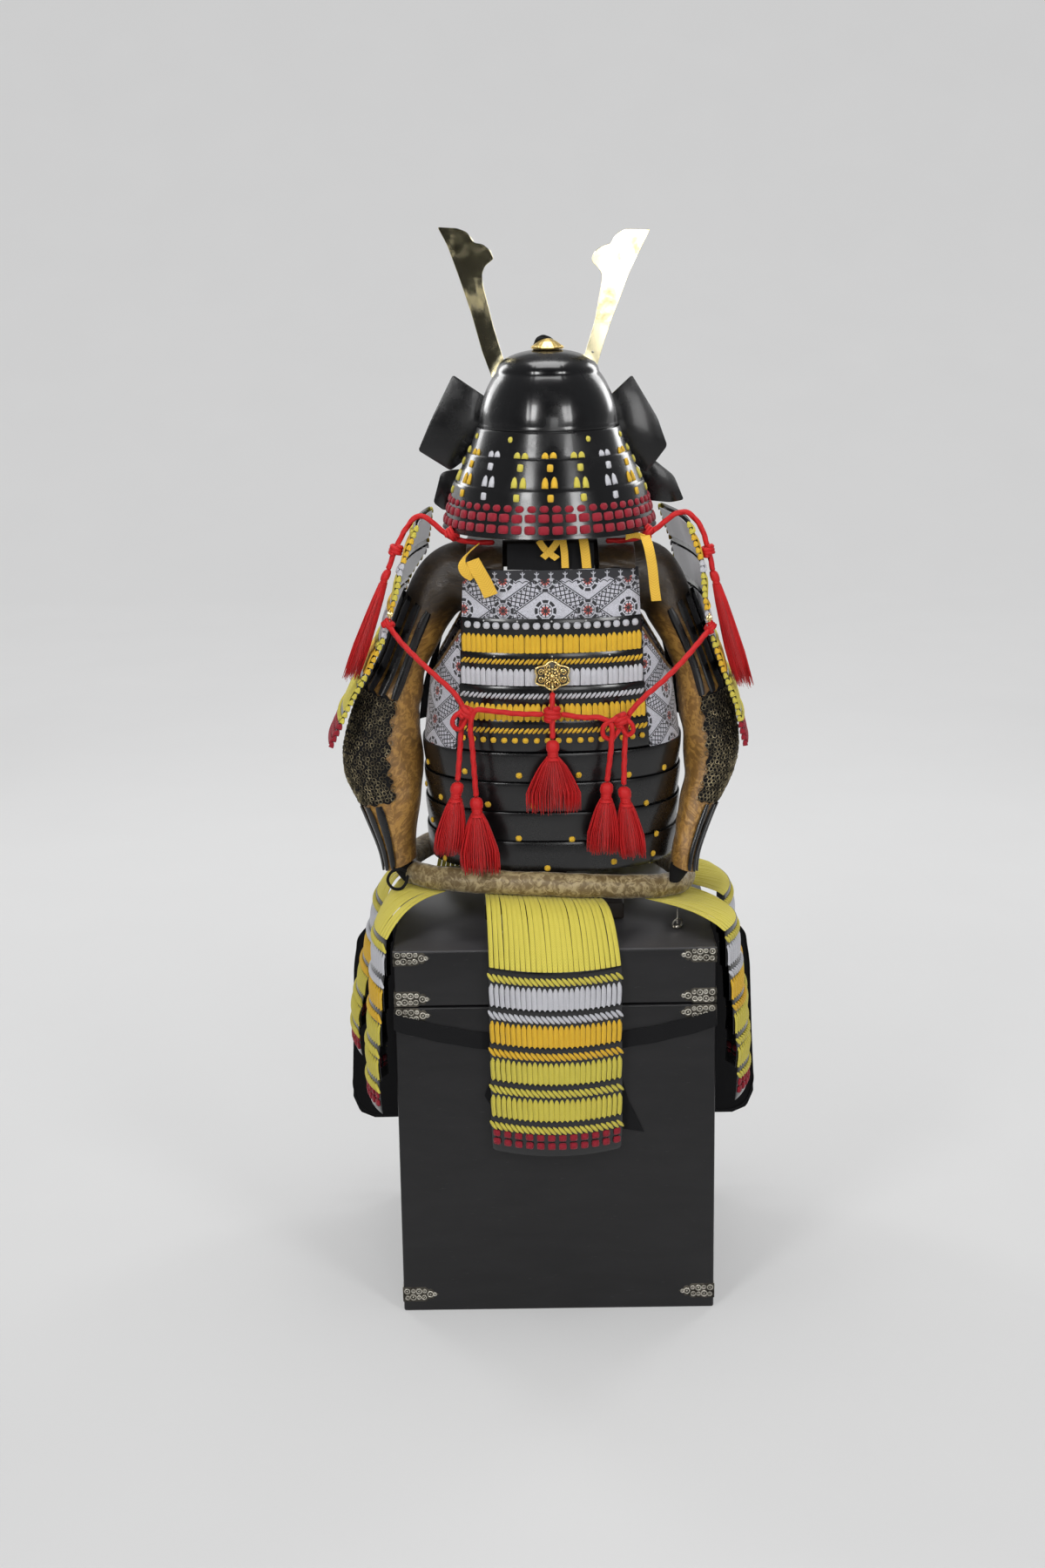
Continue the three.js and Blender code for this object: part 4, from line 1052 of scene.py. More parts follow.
# The laced rows on a cuirass panel, by height: braids, twisted rows and knots
panelRows = [("knots", "white", 1102.5, 12), ("braids", "amber", 1063.5, 1089),
             ("twist", "amber", 1047.5, 10), ("braids", "white", 1013.5, 1037),
             ("twist", "white", 994.5, 10), ("braids", "amber", 958.0, 982.5),
             ("twist", "amber", 940.5, 10), ("knots", "amber", 925.5, 10)]


def addPanelLacing(part, middle):
    side = torso["panel"] - 0.8
    lots = {}
    for kind, look, low, high in panelRows:
        lot = lots.setdefault((kind, look), [])
        reach = side - {"knots": 1.2, "twist": 0.6, "braids": 0.0}[kind]
        angles = [middle + a for a in evenAngles(panelValues[kind], reach)]
        spots = [(a, low) for a in angles]
        if kind == "knots":
            lot += setOn(torsoPoint, spots, awayFromMiddle, lameValues["step"] + 0.3,
                         (high, high * 0.92, 6), 0)
        elif kind == "twist":
            lot += setOn(torsoPoint, spots, awayFromMiddle, lameValues["step"] + 0.2,
                         (12.6, 4.2, 7.6), math.radians(44))
        else:
            lot += braids(torsoPoint, angles, low - 3, high, awayFromMiddle, 2.6, 4.6,
                          panelValues["strandWidth"], crown=2.2, jitter=0.7, seed=int(low))
    for (kind, look), places in lots.items():
        shape = {"knots": "knot", "twist": "stitch", "braids": "strand"}[kind]
        copyOnto(f"{part}_{look}_{kind}", shapes[shape], places, look)
    rivets = []
    for z, count in ((1109.5, 5), (1055.5, 3)):
        angles = [middle + a for a in evenAngles(count, side - 4)]
        rivets += setOn(torsoPoint, [(a, z) for a in angles], awayFromMiddle,
                        lameValues["step"], (3.2, 3.2, 1.6))
    copyOnto(f"{part}_rivets", shapes["rivet"], rivets, "steel")


def evenAngles(count, reach):
    # angles that put equal steps of cloth between pieces round the panel
    fine = spaced(201, -reach, reach)
    run = [0.0]
    for a, b in zip(fine, fine[1:]):
        run.append(run[-1] + (Vector(torsoPoint(b, 1000)) - Vector(torsoPoint(a, 1000))).length)
    picked = []
    for i in range(count):
        target = run[-1] * (i + 0.5) / count
        k = min(range(len(run)), key=lambda n: abs(run[n] - target))
        picked.append(fine[k])
    return picked


addCuirass()


# Brocade boards: back yoke, chest board and the two side guards
boardValues = {"out": 1.5, "thickness": 2.8}


def addBoards():
    side = torso["panel"]
    boards = [("yoke_brocade", "back_yoke", 0, side, heights["panelTop"] + 0.3, heights["yokeTop"],
               "yoke"),
              ("chest_brocade", "chest_board", 180, side, heights["panelTop"] + 0.3,
               heights["frontTop"], "pale")]
    for name, node, middle, reach, low, high, look in boards:
        def place(x, y):
            return torsoPoint(middle + x * reach, lerp(low, high, (y + 1) / 2), boardValues["out"])

        board = addGrid(name, 40, 8, place, thickness=boardValues["thickness"])
        heightUv(board)
        finish(board, look, "root", (node,))
    for sideName, sign in (("left", -1), ("right", 1)):
        reach = 90 - side - 0.5

        def place(x, y):
            turn = x * reach / (90 - side)
            top = lerp(1008, 1095, turn * turn)
            z = lerp(heights["waist"] + 0.3, top, (y + 1) / 2)
            return torsoPoint(sign * (90 + x * reach), z, boardValues["out"])

        guard = addGrid(f"side_brocade_{sideName}", 30, 12, place,
                        thickness=boardValues["thickness"], flip=sign < 0)
        heightUv(guard)
        finish(guard, "pale", "root", (f"side_guard_{sideName}",))
        route = [place(x, 1.0) for x in spaced(25)]
        rim, _, _ = twistedTube(f"side_rim_{sideName}", route, 0.0024, sides=10)
        finish(rim, "darkSatin", "root", angle=0)


addBoards()
print("cuirass laced")


# Shoulder straps of padded brocade
strapRun = [(-116, 1189.8), (-104, 1204), (-70, 1218), (0, 1224), (62, 1211), (102, 1178),
            (114, 1153)]
strapValues = {"width": 56, "inner": 74, "thick": 6}


def addStraps():
    for sideName, sign in (("left", -1), ("right", 1)):
        def place(x, y):
            spans = len(strapRun) - 1
            t = (y + 1) / 2 * spans
            (ya, za), (yb, zb) = (curveAt(strapRun, n / spans) for n in (
                max(t - 0.02, 0), min(t + 0.02, spans)))
            along = Vector((0, yb - ya, zb - za)).normalized()
            up = Vector((0, -along.z, along.y))
            yHere, zHere = curveAt(strapRun, t / spans)
            crown = -1.0 * abs(x) ** 3 + 0.35 * math.sin(t * 9 + x * 4)
            shift = up * crown
            return (torso["centreX"] + sign * (strapValues["inner"] + (x + 1) / 2
                                               * strapValues["width"]),
                    yHere + shift.y, zHere + shift.z + (0.3 if t < 0.01 else 0))

        strap = addGrid(f"strap_brocade_{sideName}", 12, 48, place, flip=sign < 0)
        if strap.data.polygons[0].normal.z < 0 and strap.data.polygons[300].normal.z < 0:
            strap.data.flip_normals()
        thicken(strap, 4.8)
        softenEdges(strap, 0.0012)
        finish(strap, "satin", "root", (f"shoulder_strap_{sideName}",))


addStraps()


# Waist roll: a padded brocade tube with gathers
rollValues = {"radius": 19, "backZ": 700, "drop": 25, "wide": 227, "deep": 172, "x": -12,
              "tilt": 0.055, "creases": 64}


def rollPoint(degrees):
    a = math.radians(degrees)
    x = rollValues["x"] + rollValues["wide"] * math.sin(a)
    tilt = rollValues["tilt"] * (x - rollValues["x"])
    z = rollValues["backZ"] - rollValues["drop"] * math.sin(a) ** 2 - tilt
    return Vector((x, -rollValues["deep"] * math.cos(a), z))


def addRoll():
    dice = random.Random(5)
    creases = [(dice.uniform(0, 360), dice.uniform(0.5, 1.2), dice.uniform(-1.2, 1.2))
               for _ in range(rollValues["creases"])]

    def place(x, y):
        degrees, turn = x * 180, y * math.pi
        a = math.radians(degrees)
        crease = 0.0
        for at, depth, slant in creases:
            away = (degrees - at + 180) % 360 - 180 + slant * 3 * math.cos(turn)
            crease += depth * math.exp(-(away / 1.7) ** 2)
        r = rollValues["radius"] + 0.5 - crease * (0.75 + 0.25 * math.sin(turn * 2 + at))
        r += 0.5 * math.sin(degrees * 0.31 + 2 * math.sin(turn))
        outward = Vector((math.sin(a), -math.cos(a), 0))
        shift = outward * (r * math.cos(turn)) + Vector((0, 0, r * math.sin(turn)))
        return rollPoint(degrees) + shift

    piece = addGrid("waist_roll_brocade", 420, 22, place, closed=True)
    faceOutwards(piece)
    finish(piece, "rollSatin", "root", ("waist_roll",), angle=80)


addRoll()
print("straps and waist roll sewn")


# Tassets: black lames laced in coloured rows, hung from the roll on free braids
tassetRows = [
    {"name": "back", "seat": 2.4, "ends": (-25, 23), "face": 0, "out": 274, "sag": 29, "half": 101,
     "mid": 0, "top": 591, "foot": 286, "strands": 25},
    {"name": "rear_left", "seat": 2.4, "ends": (-92, -44), "face": -90, "out": 281, "sag": 24,
     "splay": 18, "half": 86, "mid": 138, "top": 630, "foot": 340, "strands": 21},
    {"name": "rear_right", "seat": 2.4, "ends": (44, 92), "face": 90, "out": 285, "sag": 25,
     "splay": 22, "half": 86, "mid": -138, "top": 636, "foot": 355, "strands": 21},
    {"name": "side_left", "seat": 1.7, "ends": (-134, -96), "face": -90, "out": 288, "sag": 17,
     "splay": 48, "half": 86, "mid": -48, "top": 630, "foot": 366, "strands": 21},
    {"name": "side_right", "seat": 1.7, "ends": (96, 134), "face": 90, "out": 292, "sag": 17,
     "splay": 30, "half": 86, "mid": 48, "top": 636, "foot": 366, "strands": 21},
    {"name": "front_left", "seat": 2.4, "ends": (-176, -140), "face": 180, "out": 274, "sag": 22,
     "half": 90, "mid": 112, "top": 594, "foot": 290, "strands": 22},
    {"name": "front_right", "seat": 2.4, "ends": (140, 176), "face": 180, "out": 274, "sag": 22,
     "half": 90, "mid": -112, "top": 594, "foot": 290, "strands": 22},
]
tassetValues = {"lames": 5, "hangBend": 3.2, "knotSpace": 15.6}
tassetLacing = {
    "bands": [("lemon", "white"), ("white", "amber"), ("amber", "lemon"), ("lemon", "lemon"),
              ("lemon", "crimson")],
    "stitch": (2.3, 0.7, 7.5), "slant": -45, "twistDrop": 0.265, "braidDrop": 0.42, "stand": 4.6,
    "overlap": 0.04, "crown": 2.2, "seed": 11, "knotDrops": (0.47, 0.7), "knotOut": 3.6,
    "knotSize": (12.4, 11.2, 6.6),
}


def tassetPlate(row, s, z):
    a = math.radians(row["face"])
    outward = Vector((math.sin(a), -math.cos(a), 0))
    sideways = Vector((math.cos(a), math.sin(a), 0))
    splay = row.get("splay", 0) * min(max(row["top"] - z, 0) / 200, 1)
    return outward * (row["out"] + splay - row["sag"] * s * s) + sideways * (
        row["mid"] + s * row["half"]) + Vector((0, 0, z))


def tassetHang(row, s, t):  # t from 0 at the roll to 1 at the top lame
    start = rollPoint(lerp(*row["ends"], (s + 1) / 2))
    start.z -= rollValues["radius"] + 0.3 + row["seat"]
    end = tassetPlate(row, s, row["top"])
    t = max(t, 0.0)
    return Vector((lerp(start.x, end.x, t), lerp(start.y, end.y, t),
                   lerp(start.z, end.z, t ** tassetValues["hangBend"])))


def addTasset(row):
    a = math.radians(row["face"])

    def outwards(point):
        return (math.sin(a), -math.cos(a), 0)

    def surface(s, z):
        return tassetPlate(row, s, z)

    name, top, foot, count = row["name"], row["top"], row["foot"], tassetValues["lames"]
    addLames(f"tasset_lames_{name}", surface, -1, 1, top, foot, count, outwards, 24, "lacquer",
             (f"tasset_{name}",))
    columns = evenColumns(row["strands"])
    width = 2 * row["half"] / row["strands"]
    knots = max(int(row["half"] * 2 / tassetValues["knotSpace"]), 8)
    addBands(f"tasset_{name}", surface, outwards, columns, width, top, (top - foot) / count, knots,
             tassetLacing)

    # the free braids between the roll and the top lame, with small gaps where they part
    dice = random.Random(len(name))
    verts, faces, uvs = [], [], []
    steps = 14
    for s in columns:
        slide = dice.uniform(-0.10, 0.10) * width / row["half"]
        lift = dice.uniform(-0.4, 0.8)
        start = len(verts)
        for i in range(steps + 1):
            t = i / steps
            sway = slide * math.sin(math.pi * t)
            here = tassetHang(row, s + sway, t)
            ahead = tassetHang(row, s + sway, min(t + 0.02, 1.0)) - tassetHang(
                row, s + sway, max(t - 0.02, 0.0))
            along = ahead.normalized() if t < 0.99 else Vector((0, 0, -1))
            across = (tassetHang(row, s + 0.02, t) - tassetHang(row, s - 0.02, t)).normalized()
            span = (tassetHang(row, 1, t) - tassetHang(row, -1, t)).length / row["strands"]
            out = across.cross(-along).normalized()
            stand = lerp(1.6, 3.0, t) + lift * math.sin(math.pi * t)
            half = span / 2 * (0.97 if 0 < i < steps else 0.93)
            for k, rise in ((-1, 0.0), (-0.6, 0.75), (0, 1.0), (0.6, 0.75), (1, 0.0)):
                verts.append((here + across * (half * k) + out * (stand + rise)) * mm)
            for k in (1, 0, -1):
                verts.append((here + across * (half * k) + out * (stand - 0.7)) * mm)
        ring = 8
        for i in range(steps):
            for k in range(ring):
                j = (k + 1) % ring
                faces.append((start + i * ring + k, start + (i + 1) * ring + k,
                              start + (i + 1) * ring + j, start + i * ring + j))
                uvs.extend([((k % 5) * 0.002 - 0.004, i * 0.007), ((k % 5) * 0.002 - 0.004,
                                                                  (i + 1) * 0.007),
                            ((j % 5) * 0.002 - 0.004, (i + 1) * 0.007),
                            ((j % 5) * 0.002 - 0.004, i * 0.007)])
        faces.append(tuple(start + k for k in range(ring)))
        faces.append(tuple(start + steps * ring + k for k in range(ring))[::-1])
        uvs.extend([(0.0, 0.0)] * (2 * ring))
    piece = meshPiece(f"hanging_braids_{name}", verts, faces, uvs, smooth=False)
    piece.select_set(True)
    faceOutwards(piece)
    finish(piece, "lemon", angle=50)


for tasset in tassetRows:
    addTasset(tasset)
print("tassets laced")


# Helmet: a smooth bell-shaped bowl with a beaded rim, a visor and a flaring neck guard
bowlRows = [(1384, 1.0), (1421, 0.98), (1461, 0.845), (1487, 0.65), (1506, 0.33), (1512, 0.0)]
helmetValues = {"wide": 108, "deep": 118, "seams": (-38, -17, 17, 38), "seamDepth": 0.5,
                "rim": 1384, "shoulder": 1478, "crown": 1512,
                "beads": ((1.4, 1391, 1.8), (1.2, 1397.5, 1.5))}  # height out, level, spread
visorValues = {"reach": 52, "deep": 44, "level": 1389, "slope": 0.35, "turnDown": 2.0}


def bowlRadius(z):  # smooth bell through the table's rows
    rows = bowlRows
    i = 0
    while i < len(rows) - 2 and rows[i + 1][0] < z:
        i += 1
    (z0, r0), (z1, r1) = rows[i], rows[i + 1]
    before = rows[max(i - 1, 0)]
    after = rows[min(i + 2, len(rows) - 1)]
    m0 = (r1 - before[1]) / max(z1 - before[0], 1e-6) if i else -0.0004
    m1 = (after[1] - r0) / max(after[0] - z0, 1e-6)
    t, h = (z - z0) / (z1 - z0), z1 - z0
    return ((2 * t ** 3 - 3 * t * t + 1) * r0 + (t ** 3 - 2 * t * t + t) * h * m0
            + (3 * t * t - 2 * t ** 3) * r1 + (t ** 3 - t * t) * h * m1)


def bowlAt(t):  # t from 0 at the rim to 1 at the crown, even along the curve
    rim, shoulder, crown = (helmetValues[key] for key in ("rim", "shoulder", "crown"))
    wallShare = 0.62
    if t < wallShare:
        z = lerp(rim, shoulder, t / wallShare)
        return z, bowlRadius(z)
    a = (t - wallShare) / (1 - wallShare) * math.pi / 2
    z = shoulder + (crown - shoulder) * math.sin(a)
    return z, bowlRadius(shoulder) * math.cos(a) ** 0.92 if a < 1.5707 else 0.0


def addHelmet():
    def place(x, y):
        z, r = bowlAt((y + 1) / 2)
        a = x * math.pi
        dent = 0.0
        for seam in helmetValues["seams"]:
            away = (math.degrees(a) - seam + 180) % 360 - 180
            dent += helmetValues["seamDepth"] * math.exp(-(away / 0.55) ** 2)
        bead = sum(rise * math.exp(-((z - level) / spread) ** 2)
                   for rise, level, spread in helmetValues["beads"])
        rim = bead - dent * (0.0 if z < 1402 else 1.0) * min(1.0, r * 1.6)
        wide = r * helmetValues["wide"] + rim * min(1.0, r * 3)
        deep = r * helmetValues["deep"] + rim * min(1.0, r * 3)
        return (torso["centreX"] + wide * math.sin(a), -deep * math.cos(a), z)

    bowl = addGrid("helmet_bell", 240, 64, place, closed=True)
    thicken(bowl, 2.4)
    finish(bowl, "helmetLacquer", "helmet", ("helmet_bowl",), angle=60)

    def brim(x, y):
        a = math.radians(180 + x * visorValues["reach"])
        v = lerp(0, visorValues["deep"], (y + 1) / 2)
        px = torso["centreX"] + (helmetValues["wide"] + 1 + v * 0.8) * math.sin(a)
        py = -(helmetValues["deep"] + 1 + v) * math.cos(a)
        drop = visorValues["turnDown"] * (v / visorValues["deep"]) ** 3
        return (px, py, visorValues["level"] - v * visorValues["slope"] - drop)

    visor = addGrid("helmet_brim", 40, 10, brim)
    if sum(p.normal.z for p in visor.data.polygons) < 0:
        visor.data.flip_normals()
    thicken(visor, 2.3)
    softenEdges(visor, 0.0007)
    finish(visor, "helmetLacquer", "helmet", ("helmet_visor",))


neckLames = [(1395, 1352, 109.9, 124), (1357, 1306, 126, 145), (1312, 1241, 147, 166)]
neckFront = 58


def neckPoint(lame, s, v):
    top, foot, upper, lower = lame
    half = lerp(upper, lower, (top - v) / (top - foot))
    deep = half + 11
    a = s * math.acos(-neckFront / deep)
    return (torso["centreX"] + half * math.sin(a), -deep * math.cos(a), v)


def addNeckGuard():
    for i, lame in enumerate(neckLames):
        top, foot = lame[0], lame[1]

        def place(x, y, lame=lame, top=top, foot=foot):
            v = lerp(foot, top, (y + 1) / 2)
            roll = 1.3 * math.exp(-((v - foot) / 2.6) ** 2)
            point = Vector(neckPoint(lame, x, v))
            out = Vector((point.x - torso["centreX"], point.y, 0)).normalized()
            return point + out * (1.5 + roll)

        piece = addGrid(f"neck_lame_{i + 1}", 110, 14, place, thickness=2.8)
        softenEdges(piece, 0.0008)
        finish(piece, "lacquer", "helmet", (f"neck_guard_{i + 1}",))

    lots = {}
    dice = random.Random(8)
    # angles round the guard for the columns of paired knots, back centre out to the sides
    columns = [(0.0, "amber"), (0.175, "lemon"), (-0.175, "lemon"), (0.37, "white"),
               (-0.37, "white"), (0.56, "amber"), (-0.56, "amber"), (0.74, "lemon"),
               (-0.74, "lemon"), (0.9, "white"), (-0.9, "white")]
    for share, look in columns:
        for lame, z, kind in ((0, 1361, "low"), (1, 1343, "small"), (1, 1322, "tall"),
                              (2, 1300, "small")):
            row = neckLames[lame]
            s = share + dice.uniform(-0.004, 0.004)
            surface = lambda a, v, row=row: neckPoint(row, a, v)
            size = {"low": (11, 10, 5.5), "small": (10, 12, 5.5), "tall": (10.5, 18, 6)}[kind]
            if kind == "small":
                spots, shape = [(s, z)], "square"
            else:
                gap = 4.4 / 175
                spots, shape = [(s - gap, z), (s + gap, z + dice.uniform(-0.6, 0.6))], "dome"
            lots.setdefault((shape, look), []).extend(setOn(
                surface, spots, awayFromMiddle, 1.8, size, dice.uniform(-0.06, 0.06)))
    for share in (-0.26, 0.26, 0.62, -0.62):
        surface = lambda a, v: neckPoint(neckLames[0], a, v)
        lots.setdefault(("knot", "lemon"), []).extend(setOn(
            surface, [(share, 1383)], awayFromMiddle, 1.8, (8.5, 9.5, 5)))
    row = neckLames[2]
    surface = lambda a, v: neckPoint(row, a, v)
    for z, count, size, shape in ((1284.5, 32, (14.5, 11, 6), "knot"),
                                  (1270.5, 30, (17.5, 13.5, 7), "square"),
                                  (1253.5, 30, (17.5, 13.5, 7), "square")):
        spots = [(s, z + dice.uniform(-0.5, 0.5)) for s in spaced(count, -0.975, 0.975)]
        lots.setdefault((shape, "crimson"), []).extend(setOn(
            surface, spots, awayFromMiddle, 1.6, size, 0.03))
    for (shape, look), places in lots.items():
        copyOnto(f"neck_{look}_{shape}", shapes[shape], places, look, "helmet")


addHelmet()
addNeckGuard()
print("helmet forged")


# Flat cut plates: turned-back ends and horns, drawn by their outlines, with softened edges
def addPlate(name, outline, near, thickness, bevel):
    # a circle primitive with one corner per outline point, filled and extruded to its thickness
    bpy.ops.mesh.primitive_circle_add(vertices=len(outline), radius=1, fill_type="NGON")
    piece = bpy.context.object
    piece.name = name
    for vertex, (x, z) in zip(piece.data.vertices, outline):
        vertex.co = (x * mm, near * mm, z * mm)
    if piece.data.polygons[0].normal.y > 0:
        piece.data.flip_normals()
    editMode(piece)
    bpy.ops.mesh.extrude_region_move(TRANSFORM_OT_translate={"value": (0, thickness * mm, 0)})
    bpy.ops.mesh.select_all(action="SELECT")
    bpy.ops.mesh.normals_make_consistent(inside=False)
    objectMode()
    ys = [vertex.co.y for vertex in piece.data.vertices]
    if max(ys) - min(ys) < thickness * mm * 0.5:
        raise RuntimeError(name)
    softenEdges(piece, bevel * mm, angle=50)
    return piece


turnbackPlates = {
    "turnback_left": (59.5, [(-147, 1471), (-92, 1433), (-96, 1362), (-112, 1350), (-150, 1323),
                             (-155, 1321), (-205, 1353), (-183, 1402)]),
    "turnback_right": (59.5, [(136, 1467), (95, 1430), (100, 1362), (116, 1350), (153, 1316),
                              (160, 1313), (192, 1355), (176, 1400)]),
    "small_turnback_left": (64.2, [(-138, 1322), (-156, 1321), (-170, 1316), (-183, 1269),
                                   (-166, 1256), (-150, 1262)]),
    "small_turnback_right": (64.2, [(146, 1328), (172, 1332), (203, 1307), (219, 1268),
                                    (198, 1264), (160, 1268)]),
}
hornOutlines = {
    "left": [(-168, 1697), (-137, 1695), (-122, 1689), (-114, 1678), (-110, 1672), (-97, 1670),
             (-86, 1661), (-80, 1647), (-94, 1636), (-99, 1624), (-98, 1606), (-82, 1540),
             (-66, 1486), (-46, 1426), (-70, 1418), (-86, 1461), (-101, 1502), (-117, 1562),
             (-136, 1620), (-153, 1668)],
    "right": [(168, 1689), (128, 1690), (116, 1684), (109, 1675), (106, 1668), (93, 1665),
              (81, 1657), (76, 1648), (76, 1640), (85, 1632), (91, 1623), (91, 1608), (80, 1550),
              (62, 1492), (42, 1428), (66, 1420), (80, 1468), (94, 1514), (106, 1549), (119, 1581),
              (135, 1623)],
}


def roundedPlate(points, reach):  # cuts each corner back into a small arc
    made = []
    count = len(points)
    for i, (x, z) in enumerate(points):
        for sense, steps in ((-1, (1.0, 0.45)), (1, (0.45, 1.0))):
            ox, oz = points[(i + sense) % count]
            length = math.hypot(ox - x, oz - z)
            cut = min(reach, length * 0.4)
            other = points[(i - sense) % count]
            inward = ((ox + other[0]) / 2 - x, (oz + other[1]) / 2 - z)
            size = math.hypot(*inward) or 1.0
            for k in steps:
                pull = 0.16 * cut * (1 - k)
                made.append((x + (ox - x) / length * cut * k + inward[0] / size * pull,
                             z + (oz - z) / length * cut * k + inward[1] / size * pull))
    return made


def addPlates():
    for name, (near, outline) in turnbackPlates.items():
        plate = addPlate(f"{name}_plate", roundedPlate(outline, 5), near, 4, bevel=0.9)
        finish(plate, "lacquer", "helmet", (name,), angle=45)
    for sideName in ("left", "right"):
        outline = roundedPlate(hornOutlines[sideName], 3)
        hornPiece = addPlate(f"horn_plate_{sideName}", outline, 121, 3, bevel=0.45)
        finish(hornPiece, "brass", "helmet", (f"horn_{sideName}",), angle=12)
    rivet = setOn(lambda s, v: (s, 121, v), [(76, 1500)], lambda p: (0, -1, 0), 0.2,
                  (4.2, 4.2, 1.6))
    copyOnto("horn_rivet", shapes["rivet"], rivet, "antique", "helmet")


addPlates()


# Crown: a gilt chrysanthemum of beaded petals on a ring, with a black cord knot behind it
crownValues = {"base": 1512.4}


def addCrown():
    base, places = crownValues["base"], []
    up = Vector((0, 0, 1))
    for ring, (radius, z, size) in enumerate(((22, 2.2, 6.0), (15.6, 5.4, 5.6), (9.2, 8.0, 5.0),
                                              (3.2, 9.6, 4.4))):
        count = (20, 15, 10, 4)[ring]
        for k in range(count):
            a = 2 * math.pi * (k + 0.5 * (ring % 2)) / count
            out = Vector((math.sin(a), -math.cos(a), 0.55)).normalized()
            origin = Vector((torso["centreX"] + radius * math.sin(a), -radius * math.cos(a),
                             base + z)) * mm
            side = out.cross(up).normalized()
            places.append((origin, side * size * mm * 0.9, up * size * mm * 0.9, out * size * mm))
    copyOnto("crown_beads", shapes["knot"], places, "gilt", "helmet")
    knot = [(-8, 6, 1520), (-16, 12, 1531), (-6, 18, 1536), (4, 12, 1533), (6, 2, 1531),
            (-4, -2, 1533), (-14, 4, 1532), (-18, 14, 1526), (-20, 24, 1514)]
    tie, _, _ = twistedTube("crown_cord", [(x + 2, y, z - 6) for x, y, z in knot], 0.003, sides=10)
    finish(tie, "cloth", "helmet", angle=0)


addCrown()
print("crest and crown set")


# Shoulder guards: curved laced plates with pale backs
guardLines = {
    "left": [(1256, 200, 12), (1188, 228, 30), (1150, 236, 12), (1075, 260, 4), (1031, 282, 2),
             (968, 318, 0), (908, 346, 0)],
    "right": [(1256, 212, 30), (1193, 234, 30), (1130, 240, 24), (1090, 246, 10), (1030, 266, 4),
              (965, 290, 0), (902, 304, 0)],
}
guardValues = {"lames": 6, "bulge": 8, "strands": 26, "half": 116, "knots": 16}
guardLacing = {
    "bands": [("lemon", "amber"), ("white", "lemon"), ("amber", "white"), ("lemon", "amber"),
              ("lemon", "lemon"), ("lemon", "crimson")],
    "stitch": (1.6, 0.6, 6.5), "slant": 42, "twistDrop": 0.24, "braidDrop": 0.36, "stand": 4.8,
    "overlap": -0.5, "crown": 2.4, "seed": 31, "knotDrops": (0.44, 0.66, 0.86), "knotOut": 3.4,
    "knotSize": (12.6, 11.4, 6.6),
}


def addShoulderGuards():
    for sideName, sign in (("left", -1), ("right", 1)):
        line = guardLines[sideName]

        def surface(s, z, sign=sign, line=line):
            _, edge, turn = rowAt(line, z)
            x = edge - turn * (s + 1) / 2 + guardValues["bulge"] * (1 - s * s)
            return Vector((sign * x, 8 + s * 114, z))

        def outwards(point):
            return (sign, 0, 0)

        top, foot, count = line[0][0], line[-1][0], guardValues["lames"]
        pitch = (top - foot) / count
        addLames(f"guard_lames_{sideName}", surface, -1, 1, top, foot, count, outwards, 24,
                 "lacquer", (f"shoulder_guard_{sideName}",), flip=sign < 0)
        strands = guardValues["strands"]
        addBands(f"guard_{sideName}", surface, outwards, evenColumns(strands),
                 2 * guardValues["half"] / strands, top, pitch, guardValues["knots"], guardLacing)

        # pale leather facings behind the lames, one each, with black between them
        backs = []
        for i in range(count):
            high, low = top - pitch * i - pitch * 0.1, top - pitch * (i + 1) + pitch * 0.14

            def inner(x, y, high=high, low=low):
                return shiftedOut(surface, x * 0.97, lerp(low, high, (y + 1) / 2), outwards, -2.3)

            backs.append(addGrid(f"back_{i}", 14, 4, inner, thickness=1.0, flip=sign > 0))
        finish(joinPieces(backs, f"guard_backs_{sideName}"), "greyLame")
        # laced edging on the front and rear edges, in the colours of each lame
        edging = {}
        dice = random.Random(17 + sign)
        for i, (twist, band) in enumerate(guardLacing["bands"]):
            for k in range(6):
                v = top - pitch * (i + (k + 0.5) / 6)
                look = band if k > 1 else twist
                for s in (-1.0, 1.0):
                    origin, across, up, normal = frameAt(surface, s, v, outwards, 0.6)
                    size = dice.uniform(0.9, 1.1)
                    edging.setdefault(look, []).append(
                        (origin, normal * 8.5 * mm * size, up * 9.6 * mm, across * s * 5 * mm))
        for look, places in edging.items():
            copyOnto(f"guard_edge_{sideName}_{look}", shapes["dome"], places, look)


addShoulderGuards()
print("shoulder guards laced")


# Sleeves: brown and gold satin tubes with folds, mail and splints on their outer side
sleeveLines = {
    -1: [(130.5, 2, 1162, 52, 58, 0), (170, 2, 1148, 50, 52, 28), (202, 0, 1098, 47, 42, 58),
         (234, -4, 1020, 46, 40, 68), (262, -10, 944, 50, 54, 76), (271, -20, 868, 52, 64, 92),
         (258, -36, 804, 45, 49, 104), (250, -50, 744, 36, 33, 112), (246, -58, 706, 32, 29, 114)],
    1: [(130.5, 2, 1162, 52, 58, 0), (168, 2, 1148, 50, 52, 28), (196, 0, 1098, 47, 40, 58),
        (228, -4, 1020, 46, 34, 68), (246, -12, 944, 50, 44, 76), (252, -28, 868, 52, 42, 94),
        (231, -56, 804, 44, 29, 106), (211, -92, 744, 30, 22, 112), (205, -100, 706, 28, 22, 112)],
}
sleeveValues = {"pitch": 6.4, "mailRadius": 46, "mailEnd": 0.735, "splints": 8,
                "upperSplint": (0.22, 0.45), "lowerSplint": (0.74, 0.985), "armpit": 0.19}


